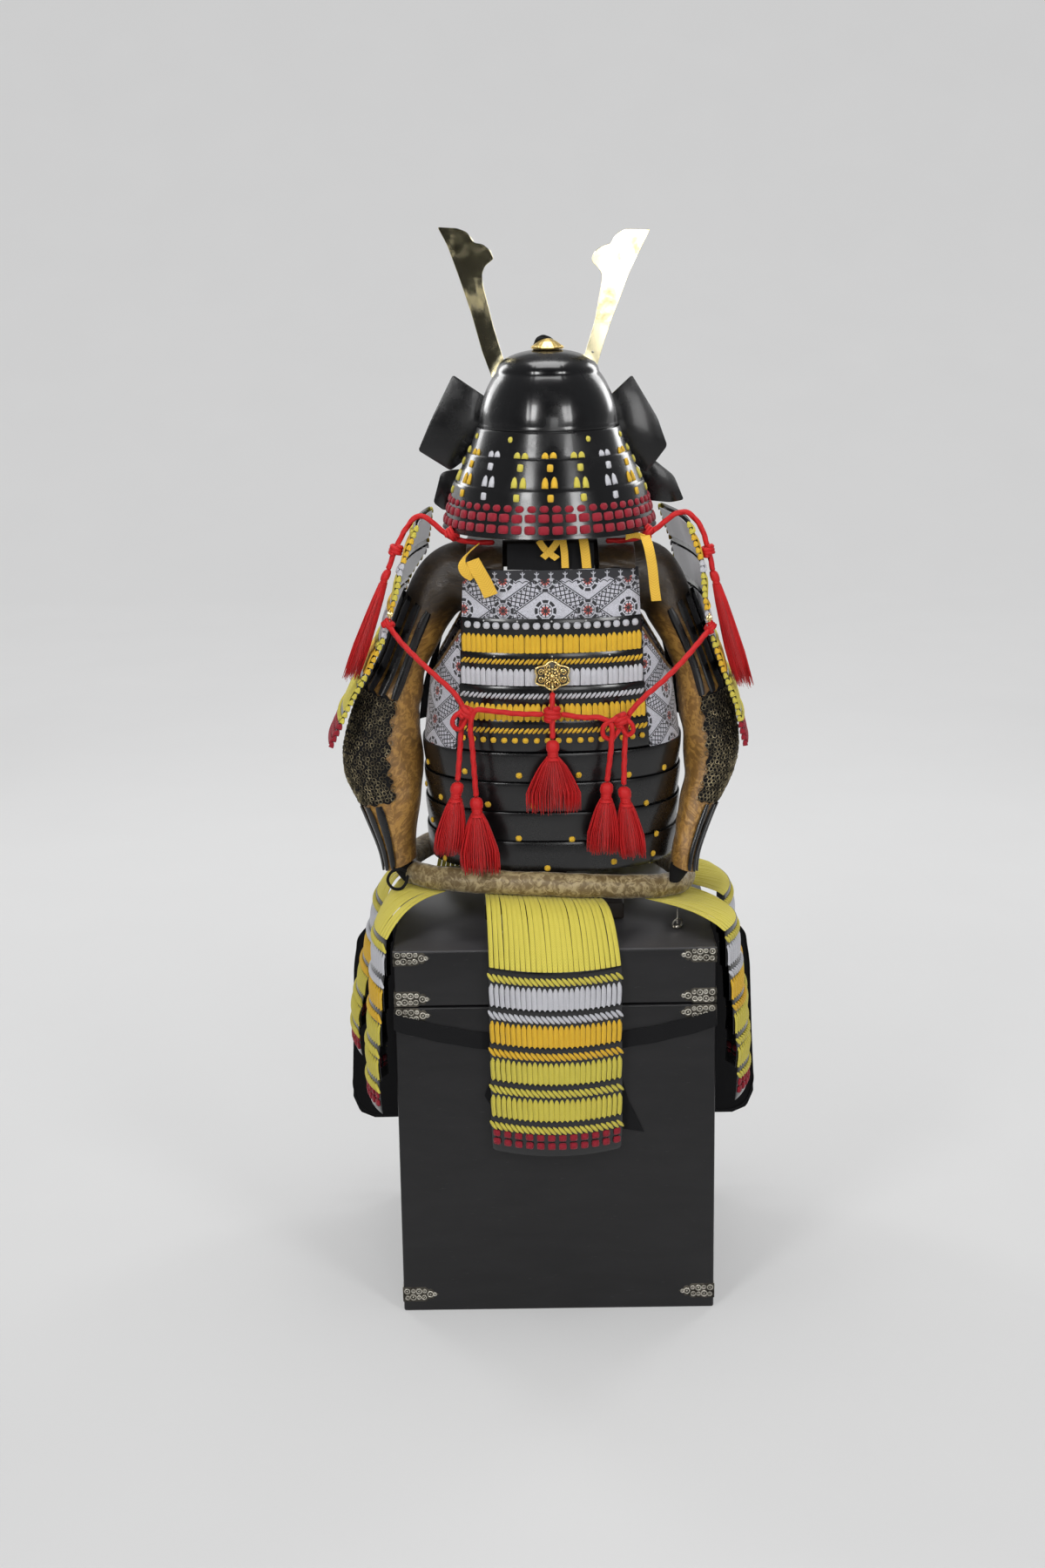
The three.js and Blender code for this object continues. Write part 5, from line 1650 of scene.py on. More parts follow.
def sleevePoint(sign, t, turn, out=0.0):  # t from 0 at the shoulder to 1 at the cuff
    x, y, z, deep, high, lean = curveAt(sleeveLines[sign], min(max(t, 0.0), 1.0))
    a = math.radians(lean)
    across = Vector((sign * math.sin(a), 0, math.cos(a)))
    centre = Vector((torso["centreX"] + sign * x, y, z))
    return centre + Vector((0, (deep + out) * math.cos(turn), 0)) + across * (
        (high + out) * math.sin(turn))


def addSleeves():
    for sideName, sign in (("left", -1), ("right", 1)):
        dice = random.Random(23 + sign)
        folds = [(dice.uniform(0.06, 0.94), dice.uniform(0, 2 * math.pi), dice.uniform(1.2, 3.2),
                  dice.uniform(0.02, 0.05), dice.uniform(-0.05, 0.05)) for _ in range(26)]

        def drape(t, turn):
            depth = 0.0
            for at, middle, height, spread, slant in folds:
                away = t - at - slant * math.sin(turn - middle)
                facing = 0.5 + 0.5 * math.cos(turn - middle)
                depth += height * math.exp(-(away / spread) ** 2) * facing ** 1.5
            long = 1.3 * math.sin(turn * 5 + 5 * math.sin(t * 6)) * math.sin(math.pi * t)
            return long - depth * math.sin(math.pi * min(max(t, 0.0), 1.0)) ** 0.5

        def place(x, y):
            turn, t = x * math.pi, (1 - y) / 2
            return sleevePoint(sign, t, turn, drape(t, turn) - 0.4)

        piece = addGrid(f"sleeve_satin_{sideName}", 72, 150, place, closed=True)
        centre = sleevePoint(sign, 0.5, 0) * 0.5 + sleevePoint(sign, 0.5, math.pi) * 0.5
        nearest = min(piece.data.polygons, key=lambda p: (p.center - sleevePoint(
            sign, 0.5, 0) * mm).length)
        if nearest.normal.dot(nearest.center - centre * mm) < 0:
            piece.data.flip_normals()
        thicken(piece, 1.9)
        finish(piece, "satin", "root",
               (f"sleeve_{sideName}", f"forearm_{sideName}"), angle=60)
        length = sum((sleevePoint(sign, (i + 1) / 40, 0) - sleevePoint(sign, i / 40, 0)).length
                     for i in range(40))

        def mailSurface(s, v):  # s round the arm in turns of pi, v along it in mm from the top
            t = v / length
            turn = s * math.pi
            return sleevePoint(sign, t, turn, 1.6 + 0.4 * drape(t, turn))

        def armOut(point):
            t = min(range(21), key=lambda k: (sleevePoint(sign, k / 20, math.pi / 2)
                                              - Vector(point)).length) / 20
            middle = (sleevePoint(sign, t, 0) + sleevePoint(sign, t, math.pi)) / 2
            return tuple(Vector(point) - middle)

        rings, pitch = [], sleeveValues["pitch"]
        v, row = length * 0.46, 0
        steps = int(math.pi * sleeveValues["mailRadius"] / pitch)
        while v < length * sleeveValues["mailEnd"]:
            for k in range(steps):
                s = lerp(-0.06, 1.08, (k + 0.5 * (row % 2)) / steps) + dice.uniform(-0.01, 0.01)
                if k in (0, steps - 1) and dice.random() < 0.4:
                    continue
                spots = [(s, v + dice.uniform(-0.8, 0.8))]
                rings += setOn(mailSurface, spots, armOut, 0.9 + dice.uniform(-0.2, 0.9),
                               (pitch * 1.02, pitch * 1.02, pitch * 1.9), dice.uniform(-0.3, 0.3))
            v += pitch * 0.9
            row += 1
        copyOnto(f"mail_{sideName}", shapes["ring"], rings, "mail")

        # black cloth under the mail
        def backing(x, y):
            s = lerp(-0.04, 1.05, (x + 1) / 2) + 0.02 * math.sin(y * 19)
            v = lerp(length * sleeveValues["mailEnd"], length * 0.45, (y + 1) / 2)
            v += 2.5 * math.sin(x * 23)
            arm = sleevePoint(sign, v / length, s * math.pi, 1.0)
            return mailSurface(s, v) * 0.999 + arm * 0.001

        under = addGrid(f"mail_cloth_{sideName}", 40, 50, backing, flip=sign > 0)
        point = under.data.polygons[900]
        if point.normal.dot(Vector(armOut(point.center / mm))) < 0:
            under.data.flip_normals()
        thicken(under, 1.0)
        finish(under, "cloth", "root", angle=60)

        # black sheet from the side of the cuirass to the sleeve, under the arm: painted shade that
        # fills the gap between them
        def shadeSheetPoint(x, y):
            k = (y + 1) / 2
            inner = sleevePoint(sign, lerp(0.5, 0.1, k), -math.pi / 2, -3)
            inner.z += 34 * max(0.0, (k - 0.7) / 0.3)
            side = Vector(torsoPoint(90 * sign, inner.z, -1 - 42 * k * k)) + Vector((0, 6, 0))
            sag = 2.5 * math.sin(math.pi * (x + 1) / 2) * math.sin(k * 9)
            return side.lerp(inner, (x + 1) / 2) + Vector((0, sag, 0))

        armpit = addGrid(f"armpit_shade_sheet_{sideName}", 10, 40, shadeSheetPoint, thickness=1.4)
        finish(armpit, "cloth", "root", angle=60)
        high = sleeveValues["armpit"]

        # lacquered splints down the upper arm and the forearm
        splints = []
        for s in spaced(sleeveValues["splints"], 0.03, 1.02):
            for low, high in (sleeveValues["upperSplint"], sleeveValues["lowerSplint"]):
                if high > 0.9 and not 0.3 < s < 0.9:
                    continue

                def bar(x, y, s=s, low=low, high=high):
                    v = lerp(high, low, (y + 1) / 2) * length
                    taper = 1 - 0.35 * abs(y) ** 6
                    a = s + x * 0.052 * taper
                    crown = 1.6 * (1 - x * x)
                    return sleevePoint(sign, v / length, a * math.pi, 3.0 + crown)

                one = addGrid("bar", 6, 12, bar)
                face = one.data.polygons[36]
                if face.normal.dot(Vector(armOut(face.center / mm))) < 0:
                    one.data.flip_normals()
                thicken(one, 2.0)
                splints.append(one)
        finish(joinPieces(splints, f"splints_{sideName}"), "lacquer", angle=50)


addSleeves()
print("sleeves sewn")


# Armour chest: black satin lacquer over wood, an open base under a cap lid with a thin lip
chestValues = {"wide": 0.5, "deep": 0.46, "high": 0.6125, "lid": 0.092, "wall": 0.012,
               "round": 0.0035, "lip": 0.0028, "seamGap": 0.0018, "overhang": 0.0026,
               "fittings": (0.6005, 0.5335, 0.5065, 0.0195), "footLift": 0.010,
               "staples": ((-0.082, -0.157), (0.196, -0.14))}


def hollowBox(name, low, high, openTop):
    values = chestValues
    box = addBlock((0, 0, (low + high) / 2), (values["wide"], values["deep"], high - low))
    box.name = name
    editMode(box)
    bpy.ops.mesh.select_all(action="DESELECT")
    objectMode()
    for polygon in box.data.polygons:
        polygon.select = polygon.normal.z > 0.9 if openTop else polygon.normal.z < -0.9
    for part in (box.data.edges, box.data.vertices):
        part.foreach_set("select", [False] * len(part))
    for polygon in box.data.polygons:
        if polygon.select:
            for index in polygon.vertices:
                box.data.vertices[index].select = True
    bpy.context.view_layer.objects.active = box
    bpy.ops.object.mode_set(mode="EDIT")
    bpy.ops.mesh.select_mode(type="FACE")
    bpy.ops.mesh.inset(thickness=values["wall"])
    depth = (high - low - values["wall"]) * (-1 if openTop else 1)
    bpy.ops.mesh.extrude_region_move(TRANSFORM_OT_translate={"value": (0, 0, depth)})
    objectMode()
    softenEdges(box, values["round"], segments=3, angle=50)
    return box


def makeCornerPlate():  # cloud-ended plate with scrolls in relief; x runs in from the corner
    end = [(0.0, -0.0125), (0.036, -0.0125), (0.0395, -0.0105), (0.041, -0.0075),
           (0.0445, -0.0095), (0.048, -0.0085), (0.0505, -0.0045), (0.0545, -0.0025)]
    outline = end + [(0.058, 0.0)] + [(x, -z) for x, z in reversed(end)]
    plate = addPlate("corner_plate", [(x / mm, z / mm) for x, z in outline], 0, 1.1, bevel=0.35)
    parts = []
    scrolls = [(0.007, 0.0055, 0.0042), (0.0165, -0.005, 0.0046), (0.026, 0.0052, 0.0043),
               (0.034, -0.0052, 0.0036), (0.0445, 0.0, 0.0046), (0.0075, -0.006, 0.0032),
               (0.017, 0.0062, 0.003), (0.0258, -0.0055, 0.003), (0.0352, 0.0058, 0.0028),
               (0.0515, 0.0, 0.0026)]
    for x, z, size in scrolls:
        bpy.ops.object.select_all(action="DESELECT")
        bpy.ops.mesh.primitive_torus_add(location=(x, -0.0004, z), rotation=(math.pi / 2, 0, 0),
                                         major_segments=12, minor_segments=5,
                                         major_radius=size, minor_radius=0.0011)
        parts.append(bakePlace())
        bpy.ops.mesh.primitive_ico_sphere_add(subdivisions=1, radius=size * 0.42,
                                              location=(x, -0.0004, z), scale=(1, 0.6, 1))
        parts.append(bakePlace())
    return asTemplate(plate), asTemplate(joinPieces(parts, "corner_scrolls"))


def addChest():
    values = chestValues
    wide, deep, high, lip = (values[key] for key in ("wide", "deep", "high", "lip"))
    seam, gap = high - values["lid"], values["seamGap"] / 2
    base = hollowBox("chest_box", 0.0, seam - gap, True)
    finish(base, "chest", "root", ("chest_base",), angle=40)
    lid = hollowBox("chest_cap", seam + gap, high - 0.0012, False)  # just under the lip's top
    finish(lid, "chest", "root", ("chest_lid",), angle=40)
    overhang = values["overhang"]
    # the lip sheet over the lid's top carries the lighter lid-edge grey: a painted highlight along
    # the edge
    sheet = addBlock((0, 0, high - lip / 2), (wide + overhang, deep + overhang, lip))
    sheet.name = "chest_lip"
    applyModifier(sheet, "BEVEL", width=0.0011, segments=3)
    finish(sheet, "lip")

    plate, scrollwork = makeCornerPlate()
    places = []
    up = Vector((0, 0, 1))
    for z in values["fittings"]:
        for sx in (-1, 1):
            for sy in (-1, 1):
                shift = values["footLift"] if z < 0.1 else 0.0
                back = Vector((sx * (wide / 2 + 0.0012), sy * (deep / 2 + 0.0002), z + shift))
                places.append((back, Vector((-sx, 0, 0)), Vector((0, -sy, 0)), up))
                side = Vector((sx * (wide / 2 + 0.0002), sy * (deep / 2 + 0.0012), z + shift))
                places.append((side, Vector((0, -sy, 0)), Vector((-sx, 0, 0)), up))
    for name, template, look in (("corner_fittings", plate, "darkAntique"),
                                 ("corner_scrollwork", scrollwork, "antique")):
        faceOutwards(copyOnto(name, template, places, look))

    # ring staples standing on the lid
    pieces = []
    for x, y in values["staples"]:
        for radius, thick, lift, lean in ((0.0085, 0.0014, 0.0085, 0.25),
                                          (0.0045, 0.0018, 0.0035, 1.4)):
            bpy.ops.object.select_all(action="DESELECT")
            bpy.ops.mesh.primitive_torus_add(
                location=(x, y, high + lift + 0.001), rotation=(math.pi / 2 + lean, 0, 0.4),
                major_segments=20, minor_segments=8, major_radius=radius, minor_radius=thick)
            pieces.append(bakePlace())
        bpy.ops.mesh.primitive_cone_add(vertices=10, radius1=0.0022, radius2=0.0008, depth=0.024,
                                        location=(x, y, high + 0.022))
        pieces.append(bakePlace())
    finish(joinPieces(pieces, "lid_staples"), "antique")


addChest()


# Wooden stand inside the armour, with a smooth head block
standValues = {
    "foot": ((-110, -85, 613.2), (114, 85, 640.8)), "post": ((-20, -16, 636), (24, 16, 1290)),
    "barLength": 0.258, "barAt": (0.002, 0, 1.1957), "barSize": (0.0215, 0.0175, 1),
    "headDeep": 1.12,
    "head": [(1290.4, 0), (1290.8, 56), (1293, 62), (1330, 76), (1372, 83.5), (1400, 83.5),
             (1426, 80), (1450, 73), (1471, 61), (1488, 46), (1500, 28), (1507, 10), (1508.4, 0)],
}


def addStand():
    parts = []
    for low, high in (standValues["foot"], standValues["post"]):
        block = addBlock([(a + b) / 2 * mm for a, b in zip(low, high)],
                         [(b - a) * mm for a, b in zip(low, high)])
        applyModifier(block, "BEVEL", width=0.003, segments=3)
        parts.append(block)
    bpy.ops.mesh.primitive_cylinder_add(vertices=40, radius=1, depth=standValues["barLength"],
                                        location=standValues["barAt"],
                                        rotation=(0, math.pi / 2, 0),
                                        scale=standValues["barSize"])
    bar = bakePlace()
    applyModifier(bar, "BEVEL", width=0.003, segments=2, limit_method="ANGLE")
    parts.append(bar)
    finish(joinPieces(parts, "wooden_stand"), "stand", "root", ("stand",))

    def place(x, y):
        rows = standValues["head"]
        i, u = spanAt(len(rows), (y + 1) / 2)
        z, r = (lerp(a, b, u) for a, b in zip(rows[i], rows[i + 1]))
        a = x * math.pi
        return (torso["centreX"] + r * math.sin(a), -standValues["headDeep"] * r * math.cos(a), z)

    head = addGrid("head_form", 40, 36, place, closed=True)
    finish(head, "stand", "root", ("head_block",), angle=60)


addStand()
print("chest and stand joined")


# Plain black collar board above the yoke, with a rolled top edge
collarValues = {"reach": 17.5, "foot": 1186.4, "top": 1226}


def addCollar():
    def surface(s, z):
        return torsoPoint(s * collarValues["reach"], z)

    def place(x, y):
        z = lerp(collarValues["foot"], collarValues["top"], (y + 1) / 2)
        roll = 1.1 * math.exp(-((z - 1224.5) / 2.2) ** 2)
        return shiftedOut(surface, x, z, awayFromMiddle, 1.5 + roll)

    board = addGrid("collar_back", 40, 14, place, thickness=2.9)
    softenEdges(board, 0.0007)
    finish(board, "cloth", "root", ("collar_board",))


addCollar()


# Socket of the crest: a curved brass plate with a boss over the visor
socketValues = {
    "near": 118.3, "thick": 2.4, "bossAt": (0.002, 0.1185, 1.4145),
    "bossSize": (0.04, 0.0024, 0.019),
    "outline": [(-76, 1462), (-92, 1436), (-60, 1408), (0, 1398), (64, 1408), (96, 1436),
                (80, 1462), (40, 1432), (2, 1424), (-36, 1432)],
}


def addSocket():
    plate = addPlate("crest_plate", roundedPlate(socketValues["outline"], 8),
                     socketValues["near"], socketValues["thick"], bevel=0.5)
    boss = addBlock(socketValues["bossAt"], socketValues["bossSize"])
    applyModifier(boss, "BEVEL", width=0.0008, segments=2)
    finish(joinPieces([plate, boss], "crest_socket"), "brass", "helmet",
           ("horn_socket",))


addSocket()


# Gilt openwork on the back plate: a lobed rim, scrolls, a beaded flower and the cords' ring
ornament = {"x": 2, "z": 1028, "near": -151.3, "wide": 29, "high": 22.5, "lobes": 6}


def addOrnament():
    x0, z0, near = ornament["x"], ornament["z"], ornament["near"]
    rim = []
    for k in range(97):
        a = 2 * math.pi * k / 96
        r = 1 + 0.1 * math.cos(ornament["lobes"] * a)
        rim.append((x0 + ornament["wide"] * 0.9 * r * math.sin(a), near - 1.4,
                    z0 + ornament["high"] * 0.9 * r * math.cos(a)))
    parts = [plainTube("rim", rim, 1.5)]
    for k in range(8):
        a = 2 * math.pi * (k + 0.5) / 8
        cx, cz = x0 + 18.5 * math.sin(a), z0 + 14.2 * math.cos(a)
        curl = []
        for i in range(22):
            t = i / 21
            r = lerp(5.4, 1.3, t)
            b = a + math.pi + (1 if k % 2 else -1) * t * 4.0 * math.pi * 0.8
            curl.append((cx + r * math.sin(b), near - 1.6 - t * 1.6, cz + r * math.cos(b)))
        parts.append(plainTube("curl", curl, 1.0, sides=6))
    finish(joinPieces(parts, "fitting_scrolls"), "gilt", "root", ("back_fitting",),
           angle=60)
    ground = addPlate("fitting_ground", [(x0 + (x - x0) * 0.97, z0 + (z - z0) * 0.97)
                                         for x, _, z in rim[::2][:-1]], near - 0.2, 1.4, bevel=0.2)
    finish(ground, "darkAntique")
    beads = []
    side, up, out = Vector((1, 0, 0)), Vector((0, 0, 1)), Vector((0, -1, 0))
    for count, radius, size, lift in ((14, 10.5, 4.4, 2.6), (9, 6.4, 3.8, 5.0),
                                      (1, 0.01, 8.4, 6.4)):
        for k in range(count):
            a = 2 * math.pi * k / count
            origin = Vector((x0 + radius * math.sin(a), near - lift,
                             z0 + radius * math.cos(a))) * mm
            beads.append((origin, side * size * mm, up * size * mm, out * size * mm * 0.8))
    copyOnto("fitting_flower", shapes["knot"], beads, "gilt")
    ring = circleRoute(x0, -158, 1011, 7.0, 7.0, 24)
    finish(plainTube("fitting_ring", ring, 1.6), "gilt", angle=60)


addOrnament()
print("crest socket and back fitting set")


# Knots of red cord: the centre knot, the bows where cords meet, and those on the shoulder guards
def wrapRoute(centre, wide, high, deep, wraps, lean=0.0):  # a cord wound round a core
    route = []
    for i in range(wraps * 14 + 1):
        t = i / (wraps * 14)
        a = 2 * math.pi * wraps * t
        x = wide * math.sin(a)
        z = lerp(high, -high, t)
        route.append((centre[0] + x * math.cos(lean) + z * math.sin(lean),
                      centre[1] - deep * math.cos(a),
                      centre[2] + z * math.cos(lean) - x * math.sin(lean)))
    return route


def bowRoute(centre, reach, drop, spread, near):  # two hanging loops, out and back
    x, y, z = centre
    return [(x, y, z), (x + spread * 0.5, y + near, z + drop * 0.12),
            (x + reach, y + near * 1.4, z - drop * 0.25),
            (x + reach * 1.05, y + near, z - drop * 0.75), (x + reach * 0.6, y, z - drop),
            (x + reach * 0.15, y - 1.5, z - drop * 0.55), (x, y - 2, z - 2)]


def addRedKnots():
    near = {"left": (-130, -175, 977), "right": (106, -176, 962)}
    pieces = []
    tied = [
        ("centre", wrapRoute((1, -171, 972), 9.5, 9.5, 7.5, 3), 0.0046),
        ("centre_hanger", [(2, -160, 1003), (1.5, -166, 992), (1, -170, 980), (1, -173, 966),
                           (1, -176, 950), (1, -178, 934)], 0.0045),
        ("bow_left", wrapRoute(near["left"], 8.5, 8.0, 8.0, 3, 0.5), 0.0044),
        ("bow_right", wrapRoute(near["right"], 8.5, 8.0, 8.0, 3, -0.4), 0.0044),
        ("loop_left", bowRoute(near["left"], -20, 26, -10, -4), 0.0040),
        ("loop_right", bowRoute(near["right"], -26, 30, -12, -4), 0.0040),
        ("loop_right_low", bowRoute(near["right"], 17, 24, 10, -3), 0.0038),
        ("top_left", wrapRoute((-150, -76, 1238), 8, 7, 8, 3, 0.9), 0.0040),
        ("top_right", wrapRoute((152, -76, 1237), 8, 7, 8, 3, -0.9), 0.0040),
        ("edge_left", wrapRoute((-236, -89, 1216), 7.5, 7, 7.5, 3, 0.3), 0.0038),
        ("edge_right", wrapRoute((245, -89, 1208), 7.5, 7, 7.5, 3, -0.2), 0.0038),
        ("hitch_left", wrapRoute((-250, -109, 1104), 6.5, 6, 7, 3, 0.8), 0.0036),
        ("hitch_right", wrapRoute((248, -109, 1092), 6.5, 6, 7, 3, -0.8), 0.0036),
    ]
    for name, route, radius in tied:
        piece, _, _ = twistedTube(f"knot_{name}", route, radius, sides=12)
        gone = ("centre_knot",) if name == "centre" else ()
        finish(piece, "red", "root", gone, angle=0)
        pieces.append(piece)

    # gilt rings at the guards' rear edges, where the red cords start
    rings = []
    for x, y, z in ((-247, -110, 1119), (246, -110, 1106)):
        rings.append(plainTube("ring", circleRoute(x, y, z, 6.5, 7.5, 20), 1.5))
        boss = [(x, y + 2.0, z), (x, y - 1.5, z)]
        rings.append(plainTube("boss", boss, 4.5, sides=12, step=0.8))
    finish(joinPieces(rings, "guard_rings"), "gilt", angle=60)


addRedKnots()


# Belt of the thigh guard, its tie ends, and the two black cloth panels
beltValues = {"half": 13.5, "thick": 3.0, "sag": 40, "level": 496, "halfX": 250.3,
              "halfY": 230.3, "corner": 6}
tieEnds = {  # left and right edge points down each tie end, as (x, z)
    "left": [((-60, 424), (-98, 408)), ((-68, 392), (-113, 374)), ((-72, 352), (-95, 340))],
    "right": [((62, 440), (98, 420)), ((78, 370), (114, 360)), ((98, 316), (138, 308))],
}
tieValues = {"near": -234.6, "wide": 0.04}


def addBelt():
    halfX, halfY, corner = (beltValues[key] for key in ("halfX", "halfY", "corner"))

    def outline(out):
        points = []
        reachX, reachY, bend = halfX + out, halfY + out, corner + out
        for sx, sy, start in ((1, -1, -90), (1, 1, 0), (-1, 1, 90), (-1, -1, 180)):
            for turn in (0, 22.5, 45, 67.5, 90):
                a = math.radians(start + turn)
                points.append((sx * (reachX - bend) + bend * math.cos(a),
                               sy * (reachY - bend) + bend * math.sin(a)))
        return points

    def around(x, out):
        points = outline(out)
        lengths = [math.dist(points[i], points[(i + 1) % len(points)]) for i in range(len(points))]
        run = (x + 1) / 2 * sum(lengths)
        for i, length in enumerate(lengths):
            if run <= length or i == len(lengths) - 1:
                a, b = points[i], points[(i + 1) % len(points)]
                k = min(run / length, 1.0)
                return lerp(a[0], b[0], k), lerp(a[1], b[1], k)
            run -= length

    def place(x, y):
        turn = y * math.pi
        up = max(-1.0, min(1.0, 1.9 * math.sin(turn)))
        out = beltValues["thick"] / 2 * (1 + max(-1, min(1, 2.5 * math.cos(turn))))
        px, py = around(x, 0.3 + out)
        behind = 1.0 if py < -halfY * 0.99 else 0.0
        sag = behind * beltValues["sag"] * (1 - min(abs(px) / 250, 1.0) ** 2)
        ripple = 0.5 * math.sin(px * 0.11) * behind
        return (px, py, beltValues["level"] - sag + beltValues["half"] * up + ripple)

    piece = addGrid("belt_cloth", 300, 16, place, closed=True)
    faceOutwards(piece)
    finish(piece, "cloth", "root", ("belt",), angle=40)

    for name, rows in tieEnds.items():
        def tie(x, y, rows=rows):
            i, u = spanAt(len(rows), (1 - y) / 2)
            a, b = ([lerp(p, q, u) for p, q in zip(rows[i][n], rows[i + 1][n])] for n in (0, 1))
            wave = 1.2 * math.sin(y * 3 + x)
            t = (x + 1) / 2
            near = tieValues["near"] - wave - (1 - y) * 0.4
            return (lerp(a[0], b[0], t), near, lerp(a[1], b[1], t))

        end = addGrid(f"tie_end_{name}", 12, 26, tie, thickness=1.2)
        finish(end, "cloth")


# Heights on the thigh guard with the distances of its inner and outer edge from the middle
thighValues = {"top": 508, "foot": 138.5, "near": 234.8, "wave": 3, "fold": 0.96,
               "flat": (0.361, 0.372)}
thighRows = [(508, 14, 320), (484, 12, 341), (430, 8, 350), (300, 5, 355), (180, 5, 361),
             (150, 12, 349), (138, 34, 322)]


def addThighGuards():
    for sideName, sign in (("left", -1), ("right", 1)):
        def surface(s, v, sign=sign):
            _, a, b = rowAt(thighRows, v)
            hang = (thighValues["top"] - v) / 370
            wave = thighValues["wave"] * (1 + math.sin(s * 9)) * hang
            fold = thighValues["fold"] * math.sin(s * 23 + v * 0.02) * hang
            return Vector((sign * lerp(a, b, s), thighValues["near"] + wave + fold, v))

        def place(x, y):
            return surface((x + 1) / 2, lerp(thighValues["foot"], thighValues["top"], (y + 1) / 2))

        panel = addGrid(f"thigh_cloth_{sideName}", 70, 70, place, thickness=1.6)
        hem = [surface(s, v) + Vector((0, -0.6, 0)) for s, v in
               [(1, v) for v in range(500, 180, -20)] + [(0.985, 165), (0.96, 150)]
               + [(s, 143) for s in spaced(16, 0.93, 0.07)] + [(0.04, 150), (0.015, 165)]
               + [(0, v) for v in range(180, 500, 20)]]
        piping = plainTube("thigh_piping", hem, 1.6, sides=6, step=6)
        finish(panel, "cloth", "root", (f"thigh_guard_{sideName}",), angle=60)
        piping.name = f"thigh_piping_{sideName}"
        finish(piping, "cloth", angle=60)


addBelt()
addThighGuards()
print("belt and thigh guard hung")


# Yellow leather ties at the neck and shoulders, flat straps
leatherTies = [  # name, route, width in mm and the way across
    ("tie_left_loop", [(-112, -112, 1222), (-124, -124, 1214), (-134, -130, 1200),
                       (-128, -131, 1186), (-116, -128, 1178)], 15, (0.75, 0, 0.66)),
    ("tie_left", [(-118, -127, 1204), (-110, -131, 1190), (-100, -132, 1172),
                  (-90, -134, 1150)], 22, (0.94, 0, 0.34)),
    ("tie_right", [(147, -104, 1234), (152, -122, 1218), (157, -128, 1190),
                   (160, -130, 1160), (163, -131, 1138)], 15, (1, 0, 0.05)),
    ("tie_right_top", [(118, -96, 1232), (132, -100, 1236), (147, -104, 1232)], 10,
     (0, -0.4, 0.9)),
    ("tie_neck_a", [(-16, -121, 1232), (-6, -123, 1218), (12, -124, 1204)], 10, (0.8, 0, 0.6)),
    ("tie_neck_b", [(14, -121, 1232), (4, -124, 1219), (-10, -125, 1206)], 10, (0.8, 0, -0.6)),
    ("tie_neck_c", [(20, -120, 1236), (23, -124, 1214), (24, -125, 1190)], 11, (1, 0, 0)),
    ("tie_neck_d", [(52, -119, 1234), (55, -123, 1212), (57, -124, 1189)], 14, (1, 0, 0)),
]


def leatherStrap(name, route, wide, across):
    points, _ = throughPoints([Vector(p) * mm for p in route], 4 * mm)
    side = Vector(across).normalized()

    def place(x, y):
        i, u = spanAt(len(points), (y + 1) / 2)
        here = points[i].lerp(points[i + 1], u)
        return (here + side * (x * wide / 2 * mm)) / mm

    return addGrid(name, 6, max(len(points), 6), place, thickness=1.6)


def addTies():
    for name, route, wide, across in leatherTies:
        piece = leatherStrap(name, route, wide, across)
        length = sum((Vector(a) - Vector(b)).length for a, b in zip(route, route[1:])) * mm
        finish(piece, "leather", angle=50)


addTies()


# Black hand covers at the cuffs, and the finger loop of the left one
handValues = {
    "centres": {"left": (-244, -60, 690), "right": (206, -100, 694)}, "top": 26, "tip": 12,
    "wide": 0.044, "loopThick": 4.8,
    "loop": [(-234, -92, 700), (-244, -98, 706), (-258, -99, 701), (-264, -98, 687),
             (-256, -97, 674), (-243, -96, 673), (-235, -94, 682), (-232, -92, 694)],
}


def addHands():
    for sideName, sign in (("left", -1), ("right", 1)):
        def place(x, y, centre=handValues["centres"][sideName], sign=sign):
            t = (1 - y) / 2
            wide = lerp(handValues["top"], handValues["tip"], t ** 1.5)
            a = lerp(-0.9, 0.9, (x + 1) / 2)
            return (centre[0] - sign * t * 12 + wide * math.sin(a) * 0.9,
                    centre[1] - 20 * math.cos(a) + 4 * t, centre[2] + 22 - 34 * t)

        cover = addGrid(f"hand_cover_{sideName}", 18, 18, place, thickness=1.8)
        finish(cover, "cloth", angle=60)
    loop, thick = handValues["loop"], handValues["loopThick"]
    piece = plainTube("finger_loop", loop, thick / 2, sides=10, step=2)
    finish(piece, "cloth", angle=60)
    route, length = throughPoints([Vector(p) * mm for p in loop], 2 * mm)
    tuple(route[0])
    [tuple(p) for p in route]


addHands()
print("ties and hand covers sewn")


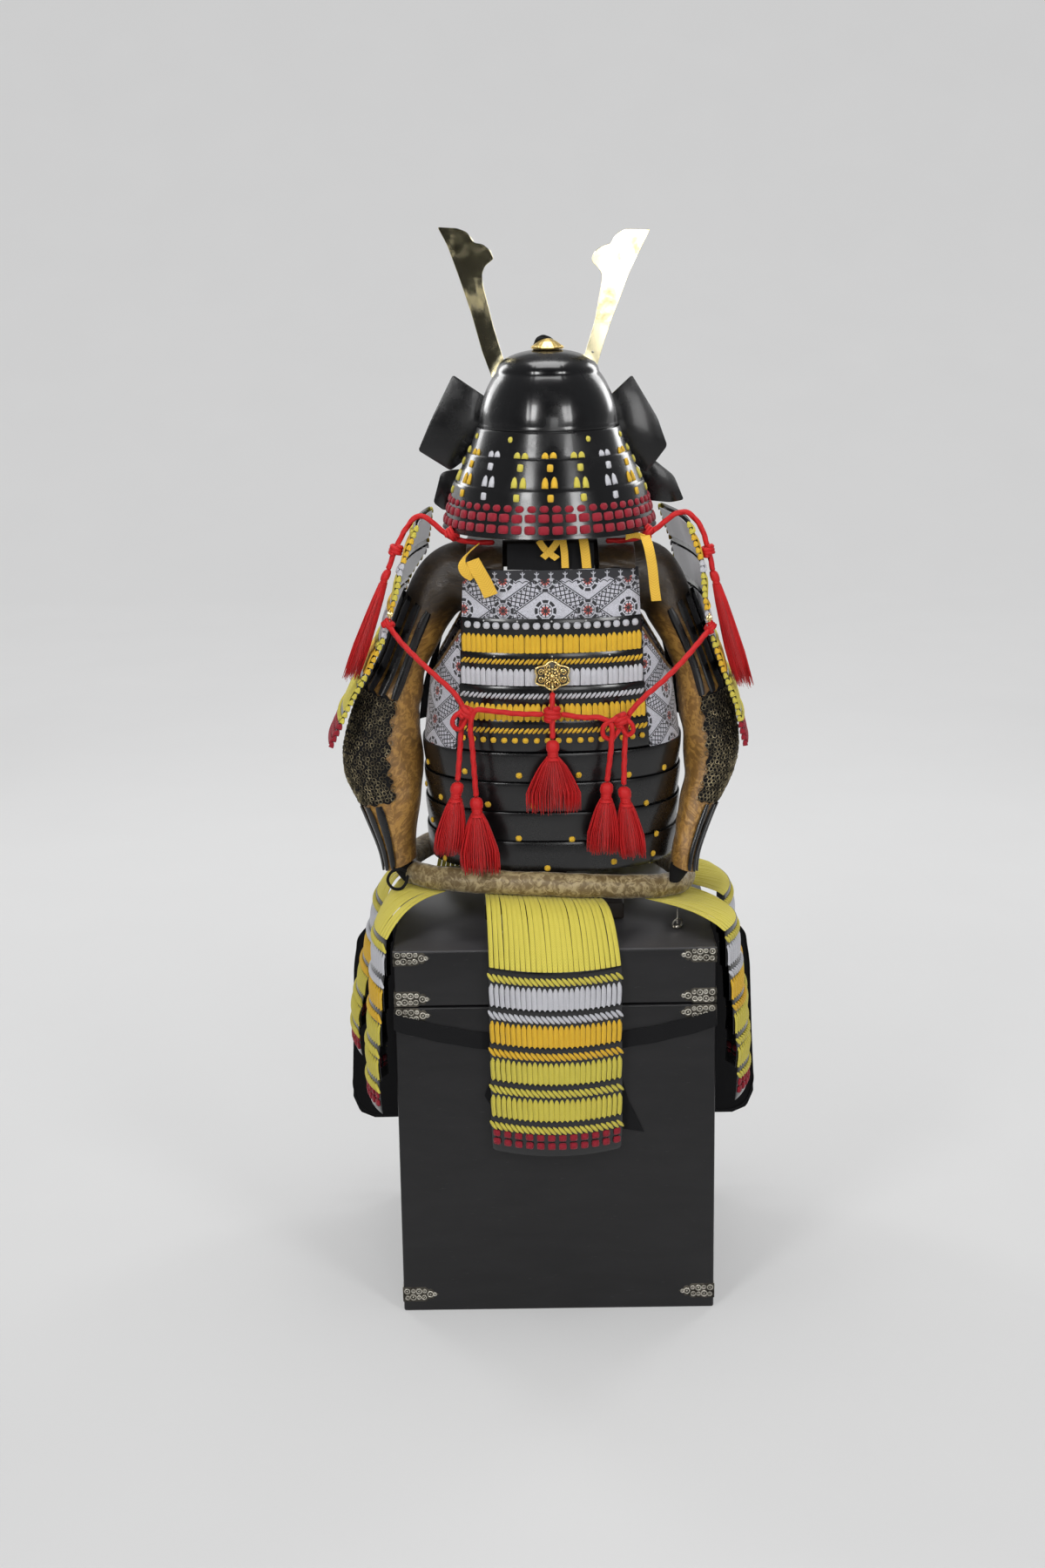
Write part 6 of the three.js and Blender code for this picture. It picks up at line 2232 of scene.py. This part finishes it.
# Pale floor and backdrop, soft boxes and an even studio light
studio = {"floorSize": 30.0, "floorShift": 4, "curveStart": 6.0, "curveTop": 8.0,
          "sky": (0.8, 0.81, 0.83, 1), "skyForCamera": 0.62,
          "room": {"From Min": -0.85, "From Max": -0.25, "To Min": 0.01, "To Max": 0.26}}
lamps = [  # name, place, target, width, height and power
    ("key", (-1.7, -3.0, 2.6), (0, 0, 1.0), 0.8, 1.6, 62),
    ("fill", (1.9, -2.9, 2.4), (0, 0, 0.9), 0.8, 1.6, 50),
    ("top", (0.0, 0.1, 3.6), (0, 0, 1.0), 1.6, 1.6, 44),
    ("crest", (0.69, -3.9, 1.8), (0.12, 0, 1.6), 0.9, 1.1, 15),
    ("backLeft", (-2.2, 2.4, 2.4), (0, 0, 1.1), 1.0, 1.6, 30),
    ("backRight", (2.2, 2.4, 2.4), (0, 0, 1.1), 1.0, 1.6, 30),
]


def addStudio():
    bpy.ops.mesh.primitive_plane_add(size=studio["floorSize"],
                                     location=(0, studio["floorShift"], 0))
    floor = bpy.context.object
    floor.name = "studio_floor"
    editMode(floor)
    bpy.ops.mesh.subdivide(number_cuts=11)
    objectMode()
    for vertex in floor.data.vertices:
        back = max(vertex.co.y + studio["floorShift"] - studio["curveStart"], 0.0)
        vertex.co.z = min(back * back / 6.0, studio["curveTop"])
    bakePlace()
    bpy.ops.object.shade_smooth()
    floor.data.materials.append(looks["floor"])

    world = bpy.data.worlds.new("studio")
    world.use_nodes = True
    tree = world.node_tree
    background = tree.nodes["Background"]
    background.inputs["Color"].default_value = studio["sky"]
    # the room behind the camera is dark, so the black lacquer stays black
    direction = tree.nodes.new("ShaderNodeTexCoord")
    parts = tree.nodes.new("ShaderNodeSeparateXYZ")
    level = tree.nodes.new("ShaderNodeMapRange")
    tree.links.new(direction.outputs["Generated"], parts.inputs[0])
    tree.links.new(parts.outputs[1], level.inputs["Value"])
    for key, value in studio["room"].items():
        level.inputs[key].default_value = value
    seen = tree.nodes.new("ShaderNodeLightPath")
    total = tree.nodes.new("ShaderNodeMath")
    total.operation = "MULTIPLY_ADD"
    total.inputs[1].default_value = studio["skyForCamera"]
    tree.links.new(seen.outputs["Is Camera Ray"], total.inputs[0])
    tree.links.new(level.outputs["Result"], total.inputs[2])
    tree.links.new(total.outputs[0], background.inputs["Strength"])
    bpy.context.scene.world = world
    bpy.context.scene.view_settings.view_transform = "Standard"

    for name, place, target, wide, high, power in lamps:
        data = bpy.data.lights.new(name, "AREA")
        data.shape = "RECTANGLE"
        data.size, data.size_y, data.energy = wide, high, power
        lamp = bpy.data.objects.new(name, data)
        lamp.location = place
        aim = Vector(target) - Vector(place)
        lamp.rotation_euler = aim.to_track_quat("-Z", "Y").to_euler()
        bpy.context.scene.collection.objects.link(lamp)


addStudio()
print("studio lit")
